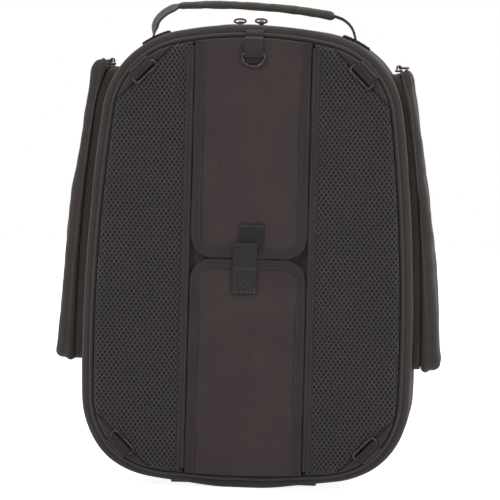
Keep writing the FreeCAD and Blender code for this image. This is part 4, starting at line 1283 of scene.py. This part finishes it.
def makeHandle():
    y = centreOf("handle_webbing").y
    pieces = []
    for side, key in ((-1, "leftStrap"), (1, "rightStrap")):
        path = smoothPath([Vector((x * mm, y, z * mm)) for x, z in handle[key]], 0.0012)
        turn = handle["twist"][side]
        pieces.append(sweep("handleStrap", path, (0, 1, 0), stripSection(25 * mm, 2 * mm), handleWebbing,
                            twist=lambda t, turn=turn: turn * min(1.0, t / 0.2, (1 - t) / 0.25)))
    finish(joinPieces("handleStraps", pieces), "handle", "webbing", "handle_webbing")
    path = smoothPath([Vector((x * mm, y, z * mm)) for x, z in handle["grip"]], 0.0018)
    spots, scale = [Vector(p) for p in path], []
    for place in np.linspace(-1, 1, len(spots)):
        scale.append((0.9 + 0.1 * place) * (1 - 0.5 * max(0, (abs(place) - 0.95) / 0.05) ** 2))
    section = gripSection()
    rows = []
    for spot, size in zip(spots, scale):
        rows.append([(spot.x, spot.y + a * (0.9 + 0.1 * size), spot.z + b * size) for a, b in section])
    grip = lattice("handleGripSleeve", np.array(rows), gripCloth, roundJ=True)
    ruffle(grip, ((0.9 * mm, 0.018, 4.2), (0.4 * mm, 0.006, 1.9)))
    finish(grip, "handle", "grip_fabric", "handle_grip")
    lines = []
    for edge in (-1, 1):
        lines.append([Vector((spot.x, spot.y + edge * (handle["gripDepth"] / 2 - 2.5 * mm),
                              spot.z + handle["gripHeight"] / 2 * size - 0.5 * mm)) for spot, size in
                      zip(spots[5:-5], scale[5:-5])])
    finish(rowOf("gripStitches", lines, stitch, thread), "handle", "grip_fabric")
    for name, side in (("left", -1), ("right", 1)):
        nodeLow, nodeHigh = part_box(name + "_handle_anchor")
        radius = bag["topCorner"] + 1.6 * mm
        middle = angleTo(topCentre, (abs(nodeLow.x + nodeHigh.x) / 2, (nodeLow.z + nodeHigh.z) / 2))
        spread = 15.5 * mm / radius
        line = [Vector((side * (topCentre[0] + radius * math.cos(a)), y, topCentre[1] + radius * math.sin(a)))
                for a in np.linspace(middle - spread, middle + spread, 16)]
        anchor = sweep(name + "HandleAnchor", evenPath(line, 0.002), (0, 1, 0),
                       stripSection(25 * mm, 2.6 * mm), webbing)
        finish(anchor, "bag", "webbing", name + "_handle_anchor")
        outer = radius + 1.6 * mm
        lines = []
        for dy in (-10 * mm, 10 * mm):
            lines.append([Vector((side * (topCentre[0] + outer * math.cos(a)), y + dy,
                                  topCentre[1] + outer * math.sin(a)))
                          for a in np.linspace(middle - spread * 0.85, middle + spread * 0.85, 12)])
        finish(rowOf(name + "AnchorStitches", lines, stitch, thread), "bag", "webbing")


makeHandle()
print("handle done")


# front: lid, apron and front pocket

lidLook = {"edge": 18 * mm, "wall": 4 * mm, "puff": 3.0 * mm, "puffSpread": 0.05, "columns": 46}


def makeFront():
    lidBack = low("lid_shell").y
    lid = softTray("lidSoftShell", body.above(low("lid_shell").z), lambda z: lidBack, lambda z: frontY,
                   lidLook, bodyCloth, facing)
    ruffle(lid, ((1.2 * mm, 0.06, 13.0), (0.5 * mm, 0.02, 6.0)),
           lambda p: 1.0 if p.y > lidBack + 0.006 else 0.2)
    finish(lid, "lid", "body_fabric", "lid_shell")
    apronBack = low("front_apron").y
    apron = softTray("apronSoftShell", body.below(foldZ), lambda z: apronBack, lambda z: frontY,
                     dict(lidLook, puff=0.8 * mm), bodyCloth, facing)
    ruffle(apron, ((0.8 * mm, 0.05, 17.0),), lambda p: clamp(p.z / 0.01))
    finish(apron, "bag", "body_fabric", "front_apron")


makeFront()

pocketLook = {"edge": 7 * mm, "wall": 3 * mm, "puff": 3.5 * mm, "puffSpread": 0.04, "columns": 40}


def makeFrontPocket():
    frameLow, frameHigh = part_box("front_pocket_frame")
    doorLow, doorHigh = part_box("front_pocket_door")
    loop = rectangleLoop(doorHigh.x, doorLow.z, doorHigh.z, 22 * mm, 22 * mm, 0.005)
    door = softTray("frontPocketPanel", loop, lambda z: doorLow.y, lambda z: doorHigh.y, pocketLook,
                    pocketCloth, facing)
    ruffle(door, ((1.1 * mm, 0.05, 19.0), (0.4 * mm, 0.016, 3.0)),
           lambda p: 1.0 if p.y > doorLow.y + 0.004 else 0.2)
    finish(door, "front_pocket_door", "body_fabric", "front_pocket_door")
    wall = 3 * mm
    dense = [(0, frameHigh.y - (frameHigh.y - frameLow.y) * k / 5) for k in range(6)]
    dense += [(wall, frameLow.y + (frameHigh.y - frameLow.y) * k / 5) for k in range(6)]
    band = ringShell("frontPocketBand", loop, dense, pocketCloth, facing)
    finish(band, "lid", "body_fabric", "front_pocket_frame")
    whole = loop.whole()
    cordLine = [facing(*(p - n * 2 * mm), doorHigh.y - 1.2 * mm) for p, n in zip(whole.points, whole.normals)]
    cord = sweep("frontPocketPiping", evenPath(cordLine, 0.003, True), (0, 1, 0), roundSection(1.9 * mm),
                 pipingCloth, True)
    finish(cord, "front_pocket_door", "piping_cord")


makeFrontPocket()


# main zip: tapes and coil

def makeZip():
    loop = mirroredLine(body.above(low("lid_zip_tape").z))
    coil = {"pitch": 1.7 * mm, "length": 0.9 * mm, "width": 1.3 * mm, "height": 2.4 * mm}
    for label, node, bodyName in (("rearZip", "rear_zip_tape", "bag"), ("lidZip", "lid_zip_tape", "lid")):
        nearY, farY = low(node).y, high(node).y
        toothY = farY - 1.1 * mm if bodyName == "bag" else nearY + 1.1 * mm
        profile = [(2.6 * mm, nearY), (2.6 * mm, (nearY + farY) / 2), (2.6 * mm, farY), (3.9 * mm, farY),
                   (3.9 * mm, nearY)]
        grid = np.array([[facing(*(p - n * inset), y) for inset, y in profile]
                         for p, n in zip(loop.points, loop.normals)])
        tapeSkin = lattice(label + "Tape", grid, zipCloth, roundJ=True)
        finish(tapeSkin, bodyName, "zip_tape", node)
        line = [facing(*(p - n * 2.1 * mm), toothY) for p, n in zip(loop.points, loop.normals)]
        teeth = rowOf(label + "Teeth", [evenPath(line, 0.003)], coil, coilNylon)
        finish(teeth, bodyName, "zip_tape")


makeZip()
print("front and zip done")


# side pockets

sideLook = {"edge": 9 * mm, "wall": 2.5 * mm, "bulge": 2.6 * mm, "puff": 1.6 * mm, "puffSpread": 0.03,
            "columns": 30, "lean": {-1: (1 * mm, 3.5 * mm, 7 * mm), 1: (0.5 * mm, 0, -1.5 * mm)},
            "topPuff": {-1: (5 * mm, 5 * mm), 1: (5 * mm, 4 * mm)},
            "drop": {-1: 4 * mm, 1: 6 * mm}, "flare": 5.5 * mm, "harnessWall": -65.5 * mm}


def slump(obj, side, inner, bottom, top):
    # the full pocket bulges over its zip at the top and sags at the bottom, where its corner flares
    for vertex in obj.data.vertices:
        spot = vertex.co
        out = clamp((abs(spot.x) - inner(top) - 1.5 * mm) / (6 * mm))
        near = clamp((spot.z - top + 16 * mm) / (14 * mm))
        wall = clamp((sideLook["harnessWall"] - spot.y) / (6 * mm))
        wide = clamp((abs(spot.x) - inner(top) + 1 * mm) / (13 * mm))
        flatPuff, wallPuff = sideLook["topPuff"][side]
        spot.z += flatPuff * near * out * out * (3 - 2 * out) + wallPuff * wall * near * wide * (2 - wide)
        near = clamp(1 - (spot.z - bottom) / (26 * mm))
        out = clamp((abs(spot.x) - inner(bottom) - 8 * mm) / (12 * mm))
        spot.z -= sideLook["drop"][side] * near
        spot.x += side * sideLook["flare"] * near * near * out
        spot.z -= 3 * mm * near ** 4 * out * out


def makeSidePockets():
    for name, side in (("left", -1), ("right", 1)):
        doorLow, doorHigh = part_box(name + "_pocket_door")
        middleY = (doorLow.y + doorHigh.y) / 2
        halfY = (doorHigh.y - doorLow.y) / 2
        bottom, top = doorLow.z, doorHigh.z
        reach = max(abs(doorLow.x), abs(doorHigh.x))
        more = sideLook["lean"][side]
        known = [(bottom, reach + more[0]), (0.290, bodyHalfWidth(0.290) + 19.5 * mm + more[1]),
                 (top, bodyHalfWidth(top) + 23.5 * mm + more[2])]
        heights = np.array([k[0] for k in known])
        curve = np.polyfit(heights, [k[1] for k in known], 2)

        def outer(z):
            return float(np.polyval(curve, min(max(z, bottom), top)))

        def inner(z):
            return bodyHalfWidth(min(max(z, bottom), top), 9.0 * mm)

        def place(a, b, depth, side=side):
            return (side * depth, middleY + a, b)

        loop = rectangleLoop(halfY, bottom, top, 12 * mm, 9 * mm, 0.005)
        door = softTray(name + "SidePocket", loop, inner, lambda z: outer(z) - 1.0 * mm, sideLook,
                        pocketCloth, place)
        ruffle(door, ((2.4 * mm, 0.04, 21.0 + side, 1.8), (0.9 * mm, 0.016, 5.0)),
               lambda p: clamp((abs(p.x) - inner(p.z)) / 0.006))
        slump(door, side, inner, bottom, top)
        finish(door, name + "_pocket_door", "body_fabric", name + "_pocket_door")
        whole = loop.whole()
        wall = 3 * mm
        rows = []
        for point, normal in zip(whole.points, whole.normals):
            ring = []
            for inset, share in ((0, 0), (0, 0.33), (0, 0.66), (0, 1), (wall, 1), (wall, 0.5), (wall, 0)):
                a, b = point - normal * inset
                start, end = bodyHalfWidth(b, -0.6 * mm), bodyHalfWidth(b, 7.9 * mm)
                ring.append(place(a, b, start + (end - start) * share))
            rows.append(ring)
        band = lattice(name + "SidePocketBand", np.array(rows), pocketCloth, roundI=True, roundJ=True)
        slump(band, side, inner, bottom, top)
        finish(band, "bag", "body_fabric", name + "_pocket_frame")
        zipLine = [place(*(p + n * 0.2 * mm), bodyHalfWidth(p[1], 7.4 * mm))
                   for p, n in zip(whole.points, whole.normals) if p[1] > bottom + 20 * mm]
        gaps = [math.dist(here, after) for here, after in zip(zipLine, zipLine[1:] + zipLine[:1])]
        split = int(np.argmax(gaps))
        zipLine = zipLine[split + 1:] + zipLine[:split + 1]
        coil = {"pitch": 1.7 * mm, "length": 0.9 * mm, "width": 2.0 * mm, "height": 1.4 * mm}
        teeth = rowOf(name + "SideZipTeeth", [evenPath(zipLine, 0.003)], coil, coilNylon)
        finish(teeth, "bag", "zip_tape")


makeSidePockets()
print("side pockets done")


# zip sliders and ring pulls

def sliderMesh(name, node, along, up):
    # a cast slider: waisted deck with bevelled edges and an arched bridge
    nodeLow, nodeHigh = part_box(node)
    centre = (nodeLow + nodeHigh) / 2
    across = up.cross(along)
    length, width = 13 * mm, 8.4 * mm
    halfHeight = 0.5 * abs((nodeHigh - nodeLow).dot(Vector([abs(v) for v in up])))
    base = centre - up * halfHeight
    outline = [(-1.0, 0.45), (-0.82, 0.78), (-0.35, 1.0), (0.1, 0.86), (0.7, 0.82), (1.0, 0.6)]
    loopPoints = [(a * length / 2, b * width / 2) for a, b in outline]
    loopPoints += [(a, -b) for a, b in reversed(loopPoints)]
    rows = []
    for height, size in ((0, 0.86), (0.35 * mm, 1.0), (1.9 * mm, 1.0), (2.4 * mm, 0.84)):
        rows.append([tuple(base + along * a * size + across * b * size + up * height) for a, b in loopPoints])
    deck = lattice(name + "Deck", np.array(rows), zipMetal, roundJ=True)
    eye = base + up * (1.8 * mm + 2.6 * mm)
    spots = [eye + across * 2.3 * mm * math.cos(a) + up * 2.2 * mm * math.sin(a)
             for a in np.linspace(-0.9, math.pi + 0.9, 18)]
    band = [(2.5 * mm * math.cos(a), 0.95 * mm * math.sin(a)) for a in np.linspace(0, 2 * math.pi, 11)[:-1]]
    bridge = sweep(name + "Bridge", evenPath(spots, 0.5 * mm), tuple(along), band, zipMetal)
    return joinPieces(name, [deck, bridge])


def makeSliders():
    for label, nodeStem in (("leftMain", "main_zip_left"), ("rightMain", "main_zip_right"),
                            ("leftPocket", "left_pocket"), ("rightPocket", "right_pocket"),
                            ("frontPocket", "front_pocket")):
        slider, pull = nodeStem + "_slider", nodeStem + "_pull"
        along, up = Vector((1, 0, 0)), Vector((0, 0, 1))
        if "main" in nodeStem:
            lean = centreOf(slider).x / bag["crownRadius"]
            along = Vector((math.cos(lean), 0, -math.sin(lean)))
            up = Vector((math.sin(lean), 0, math.cos(lean)))
        elif nodeStem != "front_pocket":
            along = Vector((0, 1, 0))
        piece = sliderMesh(label + "Slider", slider, along, up)
        finish(piece, slider, "zip_metal", slider)
        joint = next(j for j in frame["joints"] if j["child"] == pull)
        axis = Vector(joint["axis"]).normalized()
        hole = Vector(joint["pos_m"])
        reach = (centreOf(pull) - hole).normalized()
        radius = 6.1 * mm if "main" in nodeStem else 5.0 * mm
        spots = [hole + (reach + axis * math.cos(a) + reach * math.sin(a)) * radius
                 for a in np.linspace(0, 2 * math.pi, 30)[:-1]]
        normal = axis.cross(reach)
        section = [(1.2 * mm * math.cos(a), 0.85 * mm * math.sin(a))
                   for a in np.linspace(0, 2 * math.pi, 9)[:-1]]
        ring = sweep(label + "RingPull", evenPath(spots, 0.8 * mm, True), tuple(normal), section, zipMetal,
                     True)
        finish(ring, pull, "zip_metal", pull)


makeSliders()
print("sliders done")


# inside: lining over the back, and the carried-over stiffeners

def makeInside():
    points = body.inset(bag["wall"] + 1.2 * mm)
    points = np.vstack([points, (points * [-1, 1])[-2:0:-1]])
    sheetY = high("frame_sheet").y
    look = {"edge": 6 * mm, "drop": 0.8 * mm, "puff": 0.6 * mm, "columns": 56, "step": 0.006,
            "waves": ((0.35 * mm, 0.09, 2.0),)}
    skin = softPanel("backLining", points, look, lining, -(sheetY + 0.2 * mm), -(sheetY + 1.6 * mm))
    skin.data.transform(Matrix.Scale(-1, 4, Vector((0, 1, 0))))
    skin.data.flip_normals()
    finish(skin, "bag", "body_fabric")
    # the back panel gets the cavity cloth with painted light
    carried = {"back_panel": cavityPaintedLightCloth, "frame_sheet": coilNylon, "base_board": lining}
    for node, material in carried.items():
        obj = frame["nodes"][node]
        obj.data.materials.clear()
        obj.data.materials.append(material)


makeInside()


# studio

studio = {"world": 0.37, "key": 22.0, "fill": 12.5, "top": 17.0, "distance": 6.0, "azimuth": 2.7,
          "elevation": 1.75, "roll": 1.5, "target": (-0.0035, 0.0, 0.243), "span": 0.5238}


def seenDirectly(tree):
    # 1 for the camera, mirrors and glass, 0 for the light that falls on the bag
    path = tree.nodes.new("ShaderNodeLightPath").outputs
    seen = calc(tree, "MAXIMUM", path["Is Camera Ray"], path["Is Glossy Ray"])
    return calc(tree, "MAXIMUM", seen, path["Is Transmission Ray"])


def makeStudio():
    scene = bpy.context.scene
    scene.view_settings.view_transform = "Standard"
    world = bpy.data.worlds.new("studioWorld")
    scene.world = world
    world.use_nodes = True
    tree = world.node_tree
    level = addNode(tree, "ShaderNodeMapRange", {"To Min": studio["world"], "To Max": 1.0,
                                                 "Value": seenDirectly(tree)})
    feed(tree, tree.nodes["Background"], {"Strength": level.outputs[0], "Color": (1, 1, 1, 1)})

    floorMesh = bpy.data.meshes.new("studioFloor")
    corners = [(x, y, -0.5 * mm) for x, y in ((-6, -6), (6, -6), (6, 8), (-6, 8))]
    floorMesh.from_pydata(corners, [], [(0, 1, 2, 3)])
    floor = showMesh("studioFloor", floorMesh)
    material, tree, shader = startMaterial("floorPaper")
    feed(tree, shader, {"Base Color": (0.9, 0.9, 0.9, 1), "Roughness": 0.9})
    glow = addNode(tree, "ShaderNodeEmission", {"Strength": 0.9})
    lit = addNode(tree, "ShaderNodeAddShader", {0: shader.outputs[0], 1: glow.outputs[0]})
    mixed = addNode(tree, "ShaderNodeMixShader", {0: seenDirectly(tree), 1: shader.outputs[0],
                                                  2: lit.outputs[0]})
    feed(tree, tree.nodes["Material Output"], {"Surface": mixed.outputs[0]})
    floorMesh.materials.append(material)

    def lamp(name, place, size, power):
        light = bpy.data.lights.new(name, "AREA")
        light.shape = "DISK"
        light.size = size
        light.energy = power
        obj = bpy.data.objects.new(name, light)
        obj.location = place
        way = Vector((0, 0, 0.24)) - Vector(place)
        obj.rotation_euler = way.to_track_quat("-Z", "Y").to_euler()
        scene.collection.objects.link(obj)

    lamp("keyLight", (-1.2, -2.4, 1.9), 1.6, studio["key"])
    lamp("fillLight", (2.0, -2.0, 0.9), 1.8, studio["fill"])
    lamp("topLight", (0.2, 0.5, 2.4), 1.4, studio["top"])

    azimuth, elevation, roll = (math.radians(studio[key]) for key in ("azimuth", "elevation", "roll"))
    target = Vector(studio["target"])
    away = Vector((math.sin(azimuth) * math.cos(elevation), -math.cos(azimuth) * math.cos(elevation),
                   math.sin(elevation)))
    right = Vector((math.cos(azimuth), math.sin(azimuth), 0))
    up = away.cross(right)
    tilted = up * math.cos(roll) - right * math.sin(roll)
    sideways = tilted.cross(away)
    data = bpy.data.cameras.new("studioCamera")
    data.lens = data.sensor_width * studio["distance"] / studio["span"]
    camera = bpy.data.objects.new("studioCamera", data)
    turn = Matrix((sideways, tilted, away)).transposed().to_4x4()
    camera.matrix_world = Matrix.Translation(target + away * studio["distance"]) @ turn
    scene.collection.objects.link(camera)
    scene.camera = camera


makeStudio()
print("studio done")
